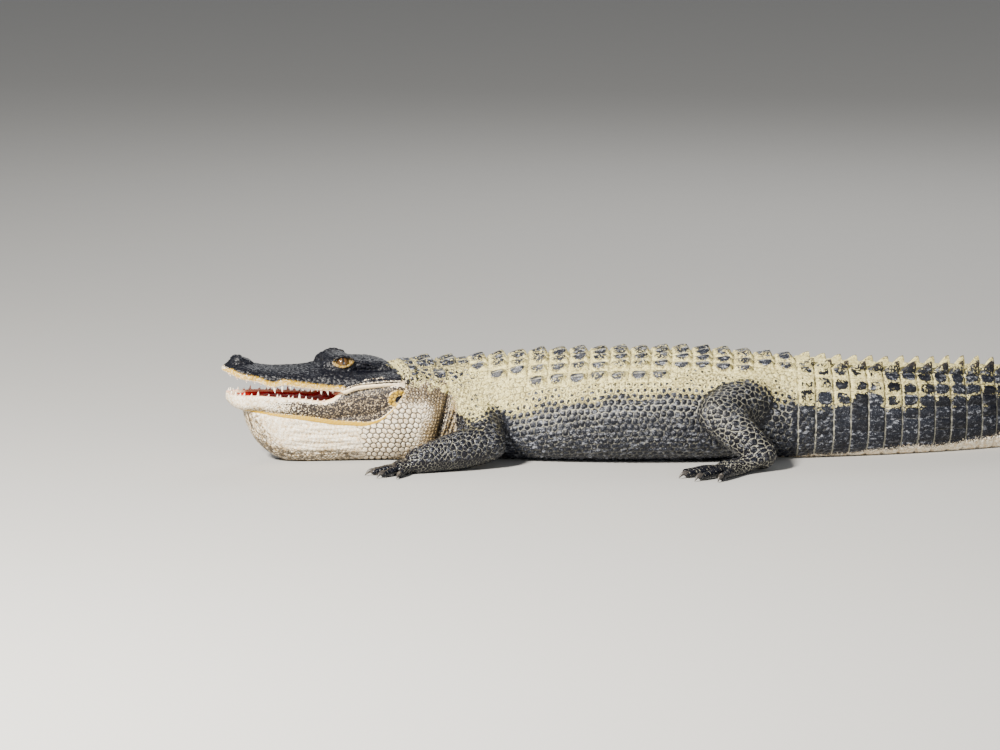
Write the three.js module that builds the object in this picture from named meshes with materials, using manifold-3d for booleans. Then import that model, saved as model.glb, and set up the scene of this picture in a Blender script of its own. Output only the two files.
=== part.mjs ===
// American alligator, adult, resting on its belly with the mouth open: a still model at life size.
// Lengths are millimetres and +Z is up. The floor is z = 0. +X runs towards the tail and the animal's
// left side faces -Y. The origin is on the floor under the middle of the belly.
// s is the distance along the spine: 0 at the origin, negative towards the snout, positive towards the tail.
// v is the distance to the animal's left of the spine. u is the distance behind the tip of the snout.

import * as THREE from "three";
import { mergeVertices } from "three/addons/utils/BufferGeometryUtils.js";
import Module from "manifold-3d";

const wasm = await Module();
wasm.setup();

// Driving dimensions

const HEAD_LENGTH = 345;
const NECK_START = -418;
const SNOUT_TIP = NECK_START - HEAD_LENGTH;
const TORSO_START = -290;
const VENT = 333;
const TAIL_LENGTH = 1300;
const TAIL_TIP = VENT + TAIL_LENGTH;
const TAIL_PITCH = 32;
const DOUBLE_ROWS = 18;
const SINGLE_ROWS = 22;
const BARE_TIP = 25;
const SINGLE_START = VENT + TAIL_PITCH * DOUBLE_ROWS;
const SINGLE_PITCH = (TAIL_TIP - BARE_TIP - SINGLE_START) / SINGLE_ROWS;
const TAIL_CUTS = [VENT, VENT + 12 * TAIL_PITCH, SINGLE_START + 8 * SINGLE_PITCH, TAIL_TIP];

const GAP = 0.35;
const BELLY_SINK = 4;
const SEED = 41;

const BODY_SIDES = 20;
const TAIL_SIDES = 12;
const HEAD_SIDES = 20;
const BODY_STEP = 63;
const TAIL_STEP = 66;
const HEAD_STEP = 20;

// Heading of the spine in degrees. The head turns towards -Y and the tail swings away to +Y.
const HEADING = [
  [SNOUT_TIP, 13],
  [NECK_START, 13],
  [-340, 7],
  [-200, 1],
  [0, 0],
  [250, 0],
  [500, 11],
  [722, 23],
  [1000, 31],
  [1300, 21],
  [TAIL_TIP, -2],
];

// Body sections: half width, height of the back, height of the widest line, fullness above and below.
const BODY = {
  half: [
    [NECK_START, 101], [-385, 104], [-345, 97], [-300, 106], [-250, 121], [-180, 135], [-90, 148],
    [10, 155], [100, 153], [180, 142], [245, 124], [VENT, 97], [420, 80], [520, 67], [640, 55],
    [722, 48], [860, 39], [1000, 31], [1150, 24], [1300, 17], [1450, 11], [1560, 7], [TAIL_TIP, 3],
  ],
  top: [
    [NECK_START, 177], [-345, 177], [-250, 181], [-180, 187], [-90, 191], [20, 193], [120, 193],
    [200, 190], [VENT, 181], [460, 169], [560, 162], [722, 151], [860, 135], [1000, 116],
    [1150, 94], [1300, 69], [1450, 43], [1560, 25], [TAIL_TIP, 9],
  ],
  widest: [
    [NECK_START, 100], [-345, 92], [-250, 80], [-90, 72], [100, 70], [VENT, 72], [560, 62],
    [860, 52], [1150, 38], [1450, 18], [TAIL_TIP, 5],
  ],
  upper: [[NECK_START, 2.3], [-250, 2.3], [0, 2.4], [VENT, 2.5], [560, 2.7], [800, 2.2], [TAIL_TIP, 2]],
  lower: [[NECK_START, 2.5], [0, 2.8], [VENT, 2.6], [700, 2.4], [TAIL_TIP, 2.2]],
};

// Upper jaw and cheeks, by u: half width, height of the top, and how full the section is.
const NOSE_RADIUS = 34;
const MUZZLE = {
  half: [[0, 47], [30, 48], [45, 51], [62, 52], [92, 61], [150, 68], [185, 73], [217, 80], [255, 89],
    [290, 95], [320, 93], [HEAD_LENGTH, 82]],
  top: [[0, 186], [30, 190], [60, 184], [107, 178], [150, 178], [190, 183], [225, 180], [260, 173],
    [300, 171], [HEAD_LENGTH, 177]],
  fullness: [[0, 2.6], [60, 2.9], [190, 2.6], [260, 2.2], [HEAD_LENGTH, 2.3]],
};

// Height of the upper lip and of the lower lip, by u. Behind the corner of the mouth they are one line.
const MOUTH_CORNER = 217;
const LIP_BACK = [[MOUTH_CORNER, 138.5], [246, 149], [300, 153], [HEAD_LENGTH + 20, 150]];
const UPPER_LIP = [[-20, 176], [0, 175], [30, 163], [56, 158], [87, 148], [107, 152], [130, 148],
  [150, 145], [190, 140], [MOUTH_CORNER, 138.5]];
const LOWER_LIP = [[-20, 134], [0, 133], [30, 130], [60, 130], [90, 128], [150, 123], [180, 119],
  [200, 124], [MOUTH_CORNER, 138.5]];

// Lower jaw, by u: half width and height of its lower edge.
const JAW_TIP = 7;
const JAW_END = 334;
const JAW_RADIUS = 34;
const JAW = {
  half: [[JAW_TIP, 40], [30, 42], [60, 47], [92, 55], [150, 63], [185, 68], [217, 74], [250, 84],
    [290, 95], [315, 98], [JAW_END, 92]],
  bottom: [[JAW_TIP, 120], [20, 106], [35, 100], [60, 97], [92, 91], [146, 83], [217, 73], [260, 72],
    [290, 80], [315, 98], [JAW_END, 118]],
};

// Throat and jowls, by u: half width, lowest line and widest line.
const THROAT_START = 40;
const THROAT = {
  half: [[THROAT_START, 10], [46, 24], [56, 35], [75, 44], [110, 53], [150, 60], [185, 65], [217, 71],
    [250, 79], [290, 92], [320, 100], [HEAD_LENGTH, 101]],
  bottom: [[THROAT_START, 96], [46, 74], [56, 52], [70, 32], [90, 15], [112, 3], [135, -2],
    [160, -BELLY_SINK], [HEAD_LENGTH, -BELLY_SINK]],
  top: [[THROAT_START, 112], [217, 120], [260, 150], [HEAD_LENGTH, 177]],
  widest: [[THROAT_START, 100], [90, 76], [217, 66], [290, 88], [HEAD_LENGTH, 100]],
};

// Roof of the skull behind the eyes, brows, nostril boss and eyes, in u, v and z.
const TABLE = { front: 196, back: 316, halfFront: 31, halfBack: 46, topFront: 202, topBack: 188, low: 150 };
const BROW = { u: 222, v: 34, z: 182, length: 38, width: 23, height: 24 };
const NOSE_BOSS = { u: 34, z: 180, length: 27, width: 26, height: 19 };
const NOSTRIL = { u: 30, v: 11, z: 198, length: 8, width: 4.5, height: 7 };
const EYE = { u: 222, v: 42, z: 187, radius: 14, tilt: 24 };
const EYE_OPENING = { length: 17, height: 9.5, depth: 15, outward: 12 };
const LID = { length: 19, height: 11, thickness: 2.6, outward: 9.5 };
const EAR = { u: 266, v: 42, z: 178, length: 44, height: 3, depth: 6, slope: 6 };
const EAR_FLAP = { u: 268, v: 41, z: 183, length: 46, height: 4, depth: 6.5 };

// Small helpers

const radians = THREE.MathUtils.degToRad;

/** A repeatable stream of numbers from 0 to 1. */
function makeRandom(seed) {
  let state = seed;
  return () => {
    state = (state * 16807) % 2147483647;
    return state / 2147483647;
  };
}

const random = makeRandom(SEED);
const vary = (share) => 1 + share * (2 * random() - 1);

/** A smooth curve through [position, value] stations that never overshoots them. */
function track(stations) {
  const x = stations.map((station) => station[0]);
  const y = stations.map((station) => station[1]);
  const last = x.length - 1;
  const rise = x.slice(1).map((end, i) => (y[i + 1] - y[i]) / (end - x[i]));
  const slope = x.map((_, i) => {
    if (i === 0) return rise[0];
    if (i === last) return rise[last - 1];
    const product = rise[i - 1] * rise[i];
    return product <= 0 ? 0 : (2 * product) / (rise[i - 1] + rise[i]);
  });
  return (at) => {
    const p = THREE.MathUtils.clamp(at, x[0], x[last]);
    let i = 0;
    while (i < last - 1 && p > x[i + 1]) i += 1;
    const span = x[i + 1] - x[i];
    const t = (p - x[i]) / span;
    const a = y[i] * (1 + 2 * t) * (1 - t) ** 2 + slope[i] * span * t * (1 - t) ** 2;
    const b = y[i + 1] * t ** 2 * (3 - 2 * t) - slope[i + 1] * span * t ** 2 * (1 - t);
    return a + b;
  };
}

const tracks = (table) => Object.fromEntries(Object.entries(table).map(([k, v]) => [k, track(v)]));

const heading = track(HEADING);
const body = tracks(BODY);
const muzzle = tracks(MUZZLE);
const jaw = tracks(JAW);
const throat = tracks(THROAT);
const lipBack = track(LIP_BACK);
const lipTrack = (front) => (u) => (u < MOUTH_CORNER ? front(u) : lipBack(u));
const upperLip = lipTrack(track(UPPER_LIP));
const lowerLip = lipTrack(track(LOWER_LIP));

const SPINE_STEP = 2;
const SPINE_MARGIN = 60;
const spineTable = layOutSpine();

/** Points of the spine in plan, SPINE_STEP apart, worked out from the heading. */
function layOutSpine() {
  const table = new Map();
  for (const sign of [1, -1]) {
    const end = sign > 0 ? TAIL_TIP + SPINE_MARGIN : SNOUT_TIP - SPINE_MARGIN;
    let x = 0;
    let y = 0;
    for (let n = 0; sign * n * SPINE_STEP <= sign * end; n += sign) {
      table.set(n, [x, y]);
      const middle = radians(heading((n + sign / 2) * SPINE_STEP));
      x += sign * SPINE_STEP * Math.cos(middle);
      y += sign * SPINE_STEP * Math.sin(middle);
    }
  }
  return table;
}

/** World position of a point given along the spine, to the left of it and above the floor. */
function place(s, v, z) {
  const n = Math.floor(s / SPINE_STEP);
  const t = s / SPINE_STEP - n;
  const [x0, y0] = spineTable.get(n);
  const [x1, y1] = spineTable.get(n + 1);
  const turn = radians(heading(s));
  return new THREE.Vector3(
    x0 + t * (x1 - x0) + v * Math.sin(turn),
    y0 + t * (y1 - y0) - v * Math.cos(turn),
    z,
  );
}

/** The same for a point of the head, given behind the tip of the snout. */
const placeHead = (u, v, z) => place(SNOUT_TIP + u, v, z);

/** Values from start to end, both included, at most step apart. */
function spread(start, end, step) {
  const count = Math.max(1, Math.ceil((end - start) / step));
  return Array.from({ length: count + 1 }, (_, i) => start + ((end - start) * i) / count);
}

// Solids

/** A closed solid from a BufferGeometry whose faces close up once equal points are merged. */
function solidOf(geometry) {
  const bare = geometry.clone();
  bare.deleteAttribute("normal");
  bare.deleteAttribute("uv");
  const merged = mergeVertices(bare, 1e-4);
  const mesh = new wasm.Mesh({
    numProp: 3,
    vertProperties: new Float32Array(merged.attributes.position.array),
    triVerts: new Uint32Array(merged.index.array),
  });
  return new wasm.Manifold(mesh);
}

/** A BufferGeometry of the largest closed surface of a solid. */
function geometryOf(solid) {
  const pieces = solid.decompose().sort((a, b) => b.volume() - a.volume());
  const mesh = pieces[0].getMesh();
  const geometry = new THREE.BufferGeometry();
  geometry.setAttribute("position", new THREE.BufferAttribute(new Float32Array(mesh.vertProperties), 3));
  geometry.setIndex(new THREE.BufferAttribute(new Uint32Array(mesh.triVerts), 1));
  geometry.computeVertexNormals();
  return geometry;
}

/** A closed solid through rings of points, each ring closed to its middle at the two ends. */
function loft(rings) {
  const sides = rings[0].length;
  const points = rings.flat();
  const faces = [];
  for (let r = 0; r + 1 < rings.length; r += 1) {
    for (let i = 0; i < sides; i += 1) {
      const a = r * sides + i;
      const b = r * sides + ((i + 1) % sides);
      faces.push(a, b, b + sides, a, b + sides, a + sides);
    }
  }
  for (const [start, flip] of [[0, true], [(rings.length - 1) * sides, false]]) {
    const middle = new THREE.Vector3();
    for (let i = 0; i < sides; i += 1) middle.addScaledVector(points[start + i], 1 / sides);
    const hub = points.push(middle) - 1;
    for (let i = 0; i < sides; i += 1) {
      const a = start + i;
      const b = start + ((i + 1) % sides);
      faces.push(...(flip ? [b, a, hub] : [a, b, hub]));
    }
  }
  return closedSolid(points, faces);
}

/** A solid from points and triangles, turned so that its faces point out. */
function closedSolid(points, faces) {
  let volume = 0;
  for (let i = 0; i < faces.length; i += 3) {
    const [a, b, c] = [points[faces[i]], points[faces[i + 1]], points[faces[i + 2]]];
    volume += a.dot(new THREE.Vector3().crossVectors(b, c));
  }
  const turned = [...faces];
  if (volume < 0) turned.reverse();
  const geometry = new THREE.BufferGeometry();
  const values = points.flatMap((p) => [p.x, p.y, p.z]);
  geometry.setAttribute("position", new THREE.Float32BufferAttribute(values, 3));
  geometry.setIndex(turned);
  return solidOf(geometry);
}

const join = (solids) => solids.reduce((whole, piece) => whole.add(piece));

/** An ellipsoid of the given half sizes, turned about its middle by an optional rotation. */
function ellipsoid(middle, halfSizes, rotation = new THREE.Matrix4(), columns = 12, rows = 7) {
  const geometry = new THREE.SphereGeometry(1, columns, rows);
  geometry.scale(halfSizes.x, halfSizes.y, halfSizes.z);
  geometry.applyMatrix4(rotation);
  geometry.translate(middle.x, middle.y, middle.z);
  return solidOf(geometry);
}

/** Rotation whose X runs along the head, Y to its right and Z up. */
const headTurn = new THREE.Matrix4().makeRotationZ(radians(heading(NECK_START)));

const FLOOR_DEPTH = 120;
const underFloor = solidOf(
  new THREE.BoxGeometry(4000, 2400, FLOOR_DEPTH).translate(400, 0, -FLOOR_DEPTH / 2),
);

// Body

/** Point of the body's section at s, at an angle from the top of the back, positive to the left. */
function bodyPoint(s, angle, grown = 0) {
  const half = body.half(s) + grown;
  const widest = body.widest(s);
  const isUpper = Math.cos(angle) >= 0;
  const power = 2 / (isUpper ? body.upper(s) : body.lower(s));
  const reach = isUpper ? body.top(s) + grown - widest : widest + BELLY_SINK + grown;
  const across = Math.sign(Math.sin(angle)) * Math.abs(Math.sin(angle)) ** power;
  const along = Math.sign(Math.cos(angle)) * Math.abs(Math.cos(angle)) ** power;
  return { v: half * across, z: widest + reach * along };
}

/** One length of the body from s = start to s = end. */
function bodyLength(start, end, step, sides, grown = 0) {
  const rings = spread(start, end, step).map((s) =>
    Array.from({ length: sides }, (_, i) => {
      const point = bodyPoint(s, (2 * Math.PI * i) / sides, grown);
      return place(s, point.v, point.z);
    }),
  );
  return loft(rings);
}

const ANGLE_STEP = 0.004;
const TANGENT_STEP = 4 * ANGLE_STEP;

/** Where a plate sits: a point at an arc length round the back from its midline, and the axes there. */
function backFrame(s, arc) {
  let angle = 0;
  let walked = 0;
  let to = bodyPoint(s, 0);
  while (walked < Math.abs(arc)) {
    angle += ANGLE_STEP;
    const from = to;
    to = bodyPoint(s, angle);
    walked += Math.hypot(to.v - from.v, to.z - from.z);
  }
  const before = bodyPoint(s, angle - TANGENT_STEP);
  const after = bodyPoint(s, angle + TANGENT_STEP);
  const side = Math.sign(arc) || 1;
  const origin = place(s, side * to.v, to.z);
  const across = place(s, side * after.v, after.z).sub(place(s, side * before.v, before.z)).normalize();
  const along = place(s + 1, 0, 0).sub(place(s - 1, 0, 0)).normalize();
  const out = new THREE.Vector3().crossVectors(along, across).normalize();
  if (out.z < 0) out.negate();
  return { origin, along, across, out };
}

const PLATE_OUTLINE = [[-0.46, -0.42], [-0.46, 0.42], [0.46, 0.46], [0.46, -0.46]];
const PLATE_ROOT_SHARE = 0.85;
const KEEL_START = { along: -0.34, rise: 0.45 };
const KEEL_PEAK = 0.3;

/** A raised plate with a keel that rises towards the tail, its root sunk in the back. */
function plate(frame, { length, width, rim, keel, root }) {
  const at = (l, w, n) =>
    frame.origin
      .clone()
      .addScaledVector(frame.along, l * length)
      .addScaledVector(frame.across, w * width)
      .addScaledVector(frame.out, n);
  const base = PLATE_OUTLINE.map(([l, w]) => at(PLATE_ROOT_SHARE * l, PLATE_ROOT_SHARE * w, -root));
  const edge = PLATE_OUTLINE.map(([l, w]) => at(l, w, rim));
  const start = at(KEEL_START.along, 0, rim + KEEL_START.rise * (keel - rim));
  const ridge = [start, at(KEEL_PEAK, 0, keel)];
  const points = [...base, ...edge, ...ridge];
  const faces = [0, 1, 2, 0, 2, 3];
  for (let i = 0; i < 4; i += 1) {
    const next = (i + 1) % 4;
    faces.push(i, i + 4, next + 4, i, next + 4, next);
  }
  const [front, back] = [8, 9];
  faces.push(4, front, 5, 5, front, back, 5, back, 6, 6, back, 7, 7, back, front, 7, front, 4);
  return closedSolid(points, faces);
}

const CREST_LEAN = 0.14;
const CREST_TAPER = 0.75;
const CREST_OUTLINE = [[-0.5, 0], [0.5, 0], [0.46, 1], [0.02, 0.8], [-0.47, 0.42]];

/** An upright plate of the tail's crest: thin, leaning back and tapering to its edge. */
function crestPlate(s, offset, { length, height, thickness, root }) {
  const top = backFrame(s, offset);
  const lean = offset === 0 ? 0 : CREST_LEAN;
  const at = (l, w, h) =>
    top.origin
      .clone()
      .addScaledVector(top.along, l * length)
      .addScaledVector(top.across, lean * h + w * thickness)
      .add(new THREE.Vector3(0, 0, h));
  const face = (side) =>
    CREST_OUTLINE.map(([l, h]) => at(l, (side / 2) * (1 - CREST_TAPER * h), h === 0 ? -root : h * height));
  const points = [...face(1), ...face(-1)];
  const faces = [0, 1, 4, 1, 2, 4, 2, 3, 4, 5, 9, 6, 6, 9, 7, 7, 9, 8];
  for (let i = 0; i < 5; i += 1) {
    const next = (i + 1) % 5;
    faces.push(i, i + 5, next + 5, i, next + 5, next);
  }
  return closedSolid(points, faces);
}

// Plates of the neck, back and tail

const TRUNK_PITCH = 39;
const TRUNK_FIRST_ROW = -271;
const TRUNK_COLUMNS = [4, 4, 6, 6, 6, 8, 8, 8, 8, 6, 6, 6, 6, 4, 4, 4];
const COLUMN_WIDTH = 33;
const COLUMN_FADE = 0.09;
const KEEL_VARIATION = 0.15;
const CREST_VARIATION = 0.08;
const TRUNK_PLATE = { length: 37, width: 33, rim: 2.5, keel: 11, root: 7 };
const NUCHALS = [
  { s: -376, arcs: [-24, 24], size: { length: 46, width: 44, rim: 4, keel: 15, root: 8 } },
  { s: -330, arcs: [-22, 22], size: { length: 42, width: 40, rim: 4, keel: 14, root: 8 } },
  { s: -352, arcs: [-64, 64], size: { length: 34, width: 30, rim: 3, keel: 9, root: 7 } },
  { s: -407, arcs: [-48, -16, 16, 48], size: { length: 19, width: 25, rim: 3, keel: 9, root: 7 } },
];
const DOUBLE_CREST = { length: 30, thickness: 15, root: 9 };
const SINGLE_CREST = { length: 0.9 * SINGLE_PITCH, thickness: 7, root: 8 };
const crestOffset = track([[VENT, 40], [500, 37], [722, 29], [860, 16], [920, 8]]);
const crestHeight = track([[VENT, 14], [460, 18], [600, 24], [722, 28], [900, 30], [1100, 27],
  [1350, 20], [1560, 12]]);

/** Keeled plates of the trunk, row by row. */
function trunkPlates() {
  return TRUNK_COLUMNS.flatMap((columns, row) =>
    Array.from({ length: columns }, (_, column) => {
      const middle = column - (columns - 1) / 2;
      const arc = COLUMN_WIDTH * middle;
      const frame = backFrame(TRUNK_FIRST_ROW + TRUNK_PITCH * row, arc);
      const fade = 1 - COLUMN_FADE * Math.abs(middle);
      return plate(frame, {
        ...TRUNK_PLATE,
        width: TRUNK_PLATE.width * fade,
        keel: TRUNK_PLATE.keel * fade * vary(KEEL_VARIATION),
      });
    }),
  );
}

/** The large plates on top of the neck. */
function neckPlates() {
  return NUCHALS.flatMap((row) => row.arcs.map((arc) => plate(backFrame(row.s, arc), row.size)));
}

/** Crest plates of the tail: two rows that close up into one. */
function tailPlates(start, end) {
  const plates = [];
  for (let row = 0; row < DOUBLE_ROWS; row += 1) {
    const s = VENT + TAIL_PITCH * (row + 0.5);
    if (s < start || s > end) continue;
    const size = { ...DOUBLE_CREST, height: crestHeight(s) * vary(CREST_VARIATION) };
    plates.push(crestPlate(s, crestOffset(s), size), crestPlate(s, -crestOffset(s), size));
  }
  for (let row = 0; row < SINGLE_ROWS; row += 1) {
    const s = SINGLE_START + SINGLE_PITCH * (row + 0.5);
    if (s < start || s > end) continue;
    const height = crestHeight(s) * vary(CREST_VARIATION);
    plates.push(crestPlate(s, 0, { ...SINGLE_CREST, height }));
  }
  return plates;
}

/** A length of the body with its plates, resting on the floor. */
function bodyNode(start, end, step, sides, plates) {
  const flesh = bodyLength(start, end - GAP, step, sides);
  return join([flesh, ...plates]).subtract(underFloor);
}

// Head

const NOSE_STATIONS = [0, 2.5, 7, 14, 24];
const NOSE_END = 35;
const NOSE_FLAT = 0.02;
const NOSE_TOP_SHARE = 0.55;

/** How wide the rounded front of the snout or jaw is at u, as a share of its full width. */
function roundNose(u, radius) {
  const t = THREE.MathUtils.clamp(1 - u / radius, 0, 1);
  return Math.sqrt(Math.max(1 - t * t, NOSE_FLAT));
}

/** Stations that lie closer together round the nose, from start to end. */
function headStations(start, end) {
  const nose = NOSE_STATIONS.map((u) => start + u);
  return [...nose, ...spread(start + NOSE_END, end, HEAD_STEP)];
}

/** A full superellipse section of the head at u, as points round it. */
function headRing(u, { half, top, widest, bottom, fullness, sides = HEAD_SIDES }) {
  const power = 2 / fullness;
  return Array.from({ length: sides }, (_, i) => {
    const angle = (2 * Math.PI * i) / sides;
    const across = Math.sign(Math.sin(angle)) * Math.abs(Math.sin(angle)) ** power;
    const along = Math.sign(Math.cos(angle)) * Math.abs(Math.cos(angle)) ** power;
    const reach = along > 0 ? top - widest : widest - bottom;
    return placeHead(u, half * across, widest + reach * along);
  });
}

const WIDE = 170;
const HIGH = 420;
const BEFORE_SNOUT = -20;
const PAST_HEAD = HEAD_LENGTH + 15;

/** A wedge across the head between two heights that change with u. */
function headBand(low, high) {
  const rings = spread(BEFORE_SNOUT, PAST_HEAD, HEAD_STEP).map((u) => [
    placeHead(u, -WIDE, low(u)),
    placeHead(u, WIDE, low(u)),
    placeHead(u, WIDE, high(u)),
    placeHead(u, -WIDE, high(u)),
  ]);
  return loft(rings);
}

const LIP_RIM = 11;
const LIP_ROUND = 3;
const BELOW_LIP = 22;
const PALATE_HEIGHT = 13;
const MOUTH_START = 17;
const MOUTH_BACK = MOUTH_CORNER - 11;
const MOUTH_DEPTH = 15;
const MOUTH_STEP = 22;
const TABLE_STEP = 28;

/** Cheeks and upper jaw above the line of the mouth. */
function muzzleSolid() {
  const rings = headStations(0, HEAD_LENGTH - GAP).map((u) => {
    const nose = roundNose(u, NOSE_RADIUS);
    const lip = upperLip(u);
    const rise = 1 - NOSE_TOP_SHARE * (1 - nose);
    return headRing(u, {
      half: muzzle.half(u) * nose,
      top: lip + (muzzle.top(u) - lip) * rise,
      widest: lip + LIP_ROUND,
      bottom: lip - BELOW_LIP,
      fullness: muzzle.fullness(u),
    });
  });
  return loft(rings);
}

/** The flat roof of the skull between and behind the eyes. */
function tableSolid() {
  const rings = spread(TABLE.front, TABLE.back, TABLE_STEP).map((u) => {
    const t = (u - TABLE.front) / (TABLE.back - TABLE.front);
    const top = THREE.MathUtils.lerp(TABLE.topFront, TABLE.topBack, t);
    return headRing(u, {
      half: THREE.MathUtils.lerp(TABLE.halfFront, TABLE.halfBack, t),
      top,
      widest: (top + TABLE.low) / 2,
      bottom: TABLE.low,
      fullness: 4,
      sides: 12,
    });
  });
  return loft(rings);
}

/** Turn that points an ellipsoid's Y out of the left or right eye. */
function eyeTurn(side) {
  const tilt = new THREE.Matrix4().makeRotationX(-side * radians(EYE.tilt));
  return headTurn.clone().multiply(tilt);
}

/** A point out from the middle of an eye along the way it looks. */
function outFromEye(side, distance) {
  const tilt = radians(EYE.tilt);
  const v = EYE.v + distance * Math.cos(tilt);
  return placeHead(EYE.u, side * v, EYE.z + distance * Math.sin(tilt));
}

/** Lids: a raised rim round the opening of the eye. */
function lidRim(side) {
  const RIM_SHARE = 0.2;
  const geometry = new THREE.TorusGeometry(1, RIM_SHARE, 5, 12);
  geometry.rotateX(Math.PI / 2);
  geometry.scale(LID.length, LID.thickness / RIM_SHARE, LID.height);
  geometry.applyMatrix4(eyeTurn(side));
  const middle = outFromEye(side, LID.outward);
  geometry.translate(middle.x, middle.y, middle.z);
  return solidOf(geometry);
}

const eyeball = (side, radius) =>
  ellipsoid(outFromEye(side, 0), new THREE.Vector3(radius, radius, radius), undefined, 10, 7);

/** Opening between the lids. */
function lidOpening(side) {
  const halfSizes = new THREE.Vector3(EYE_OPENING.length, EYE_OPENING.depth, EYE_OPENING.height);
  return ellipsoid(outFromEye(side, EYE_OPENING.outward), halfSizes, eyeTurn(side), 12, 7);
}

/** A long roll beside the skull's roof: the slit of the ear, or the flap over it. */
function earRoll(side, { u, v, z, length, height, depth }) {
  const slope = new THREE.Matrix4().makeRotationY(radians(EAR.slope));
  const halfSizes = new THREE.Vector3(length / 2, depth, height);
  return ellipsoid(placeHead(u, side * v, z), halfSizes, headTurn.clone().multiply(slope), 10, 6);
}

const TOOTH_ROOT = 5;

/** One tooth: a cone that points up or down, its root sunk in the jaw. */
function tooth(u, v, z, length, radius, direction) {
  const geometry = new THREE.ConeGeometry(radius, length + TOOTH_ROOT, 5, 1);
  geometry.rotateX((direction * Math.PI) / 2);
  const root = placeHead(u, v, z + (direction * (length - TOOTH_ROOT)) / 2);
  geometry.translate(root.x, root.y, root.z);
  return solidOf(geometry);
}

const TOOTH_SHIFT = 2.5;
const TOOTH_VARIATION = 0.15;
const UPPER_TEETH = { count: 14, first: 14, last: 200, inset: 4.5, radius: 3.9 };
const LOWER_TEETH = { count: 13, first: 20, last: 190, inset: 5.5, radius: 3.9 };
const upperToothLength = track([[0, 8], [55, 8], [92, 15], [120, 8], [150, 10], [170, 10], [205, 5]]);
const lowerToothLength = track([[0, 10], [48, 13], [75, 7], [125, 10], [150, 7], [200, 5]]);

/** A row of teeth along both sides of a jaw. */
function toothRow(row, lengthAt, direction, halfAt, lipAt) {
  const teeth = [];
  for (const u of spread(row.first, row.last, (row.last - row.first) / (row.count - 1))) {
    for (const side of [1, -1]) {
      const at = u + TOOTH_SHIFT * (2 * random() - 1);
      const length = lengthAt(at) * vary(TOOTH_VARIATION);
      const v = side * (halfAt(at) - row.inset);
      const radius = row.radius * (0.7 + 0.03 * length);
      teeth.push(tooth(at, v, lipAt(at), length, radius, direction));
    }
  }
  return teeth;
}

/** The head above the line of the mouth. */
function makeHead() {
  const boss = ellipsoid(
    placeHead(NOSE_BOSS.u, 0, NOSE_BOSS.z),
    new THREE.Vector3(NOSE_BOSS.length, NOSE_BOSS.width, NOSE_BOSS.height),
    headTurn,
  );
  const browSizes = new THREE.Vector3(BROW.length, BROW.width, BROW.height);
  const nostrilSizes = new THREE.Vector3(NOSTRIL.length, NOSTRIL.width, NOSTRIL.height);
  const raised = [1, -1].flatMap((side) => [
    ellipsoid(placeHead(BROW.u, side * BROW.v, BROW.z), browSizes, headTurn),
    lidRim(side),
    earRoll(side, EAR_FLAP),
  ]);
  const outside = join([muzzleSolid(), tableSolid(), boss, ...raised]);
  const holes = [1, -1].flatMap((side) => [
    eyeball(side, EYE.radius + GAP),
    lidOpening(side),
    earRoll(side, EAR),
    ellipsoid(placeHead(NOSTRIL.u, side * NOSTRIL.v, NOSTRIL.z), nostrilSizes, headTurn, 10, 6),
  ]);
  const palate = loft(
    spread(MOUTH_START, MOUTH_BACK, MOUTH_STEP).map((u) => {
      const nose = roundNose(u - MOUTH_START, NOSE_RADIUS);
      return headRing(u, {
        half: (muzzle.half(u) - LIP_RIM) * nose,
        top: upperLip(u) + PALATE_HEIGHT * nose,
        widest: upperLip(u) - LIP_ROUND,
        bottom: upperLip(u) - BELOW_LIP,
        fullness: 2.4,
        sides: 10,
      });
    }),
  );
  const below = headBand(() => -HIGH, upperLip);
  const whole = outside.subtract(join(holes)).subtract(below).subtract(palate);
  const halfAt = (u) => muzzle.half(u) * roundNose(u, NOSE_RADIUS);
  const teeth = toothRow(UPPER_TEETH, upperToothLength, -1, halfAt, upperLip);
  return join([whole, ...teeth]);
}

const ABOVE_LIP = 14;
const JAW_WIDEST = 0.4;
const JAW_FULLNESS = 2.8;
const THROAT_FULLNESS = 2.4;
const jawHalf = (u) => jaw.half(u) * roundNose(u - JAW_TIP, JAW_RADIUS);

/** Lower jaw and throat below the line of the mouth. */
function lowerJawOutside() {
  const bone = headStations(JAW_TIP, JAW_END).map((u) => {
    const lip = lowerLip(u);
    return headRing(u, {
      half: jawHalf(u),
      top: lip + ABOVE_LIP,
      widest: THREE.MathUtils.lerp(lip, jaw.bottom(u), JAW_WIDEST),
      bottom: jaw.bottom(u),
      fullness: JAW_FULLNESS,
    });
  });
  const pouch = spread(THROAT_START, HEAD_LENGTH - GAP, HEAD_STEP).map((u) =>
    headRing(u, {
      half: throat.half(u),
      top: throat.top(u),
      widest: throat.widest(u),
      bottom: throat.bottom(u),
      fullness: THROAT_FULLNESS,
    }),
  );
  return loft(bone).add(loft(pouch));
}

/** Floor of the mouth, let into the lower jaw inside the lips. */
function mouthFloor(inset) {
  const start = MOUTH_START + JAW_TIP;
  return loft(
    spread(start, MOUTH_BACK, MOUTH_STEP).map((u) => {
      const nose = roundNose(u - start, JAW_RADIUS);
      return headRing(u, {
        half: (jaw.half(u) - LIP_RIM - inset) * nose,
        top: lowerLip(u) + BELOW_LIP,
        widest: lowerLip(u) + LIP_ROUND,
        bottom: lowerLip(u) - (MOUTH_DEPTH - inset) * nose,
        fullness: 2.6,
        sides: 10,
      });
    }),
  );
}

/** Lower jaw with its teeth, and the throat that hangs from it down to the floor. */
function makeLowerJaw() {
  const above = headBand((u) => lowerLip(u) - GAP, () => HIGH);
  const flesh = lowerJawOutside().subtract(above).subtract(mouthFloor(0)).subtract(underFloor);
  const teeth = toothRow(LOWER_TEETH, lowerToothLength, 1, jawHalf, (u) => lowerLip(u) - GAP);
  return join([flesh, ...teeth]);
}

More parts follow.
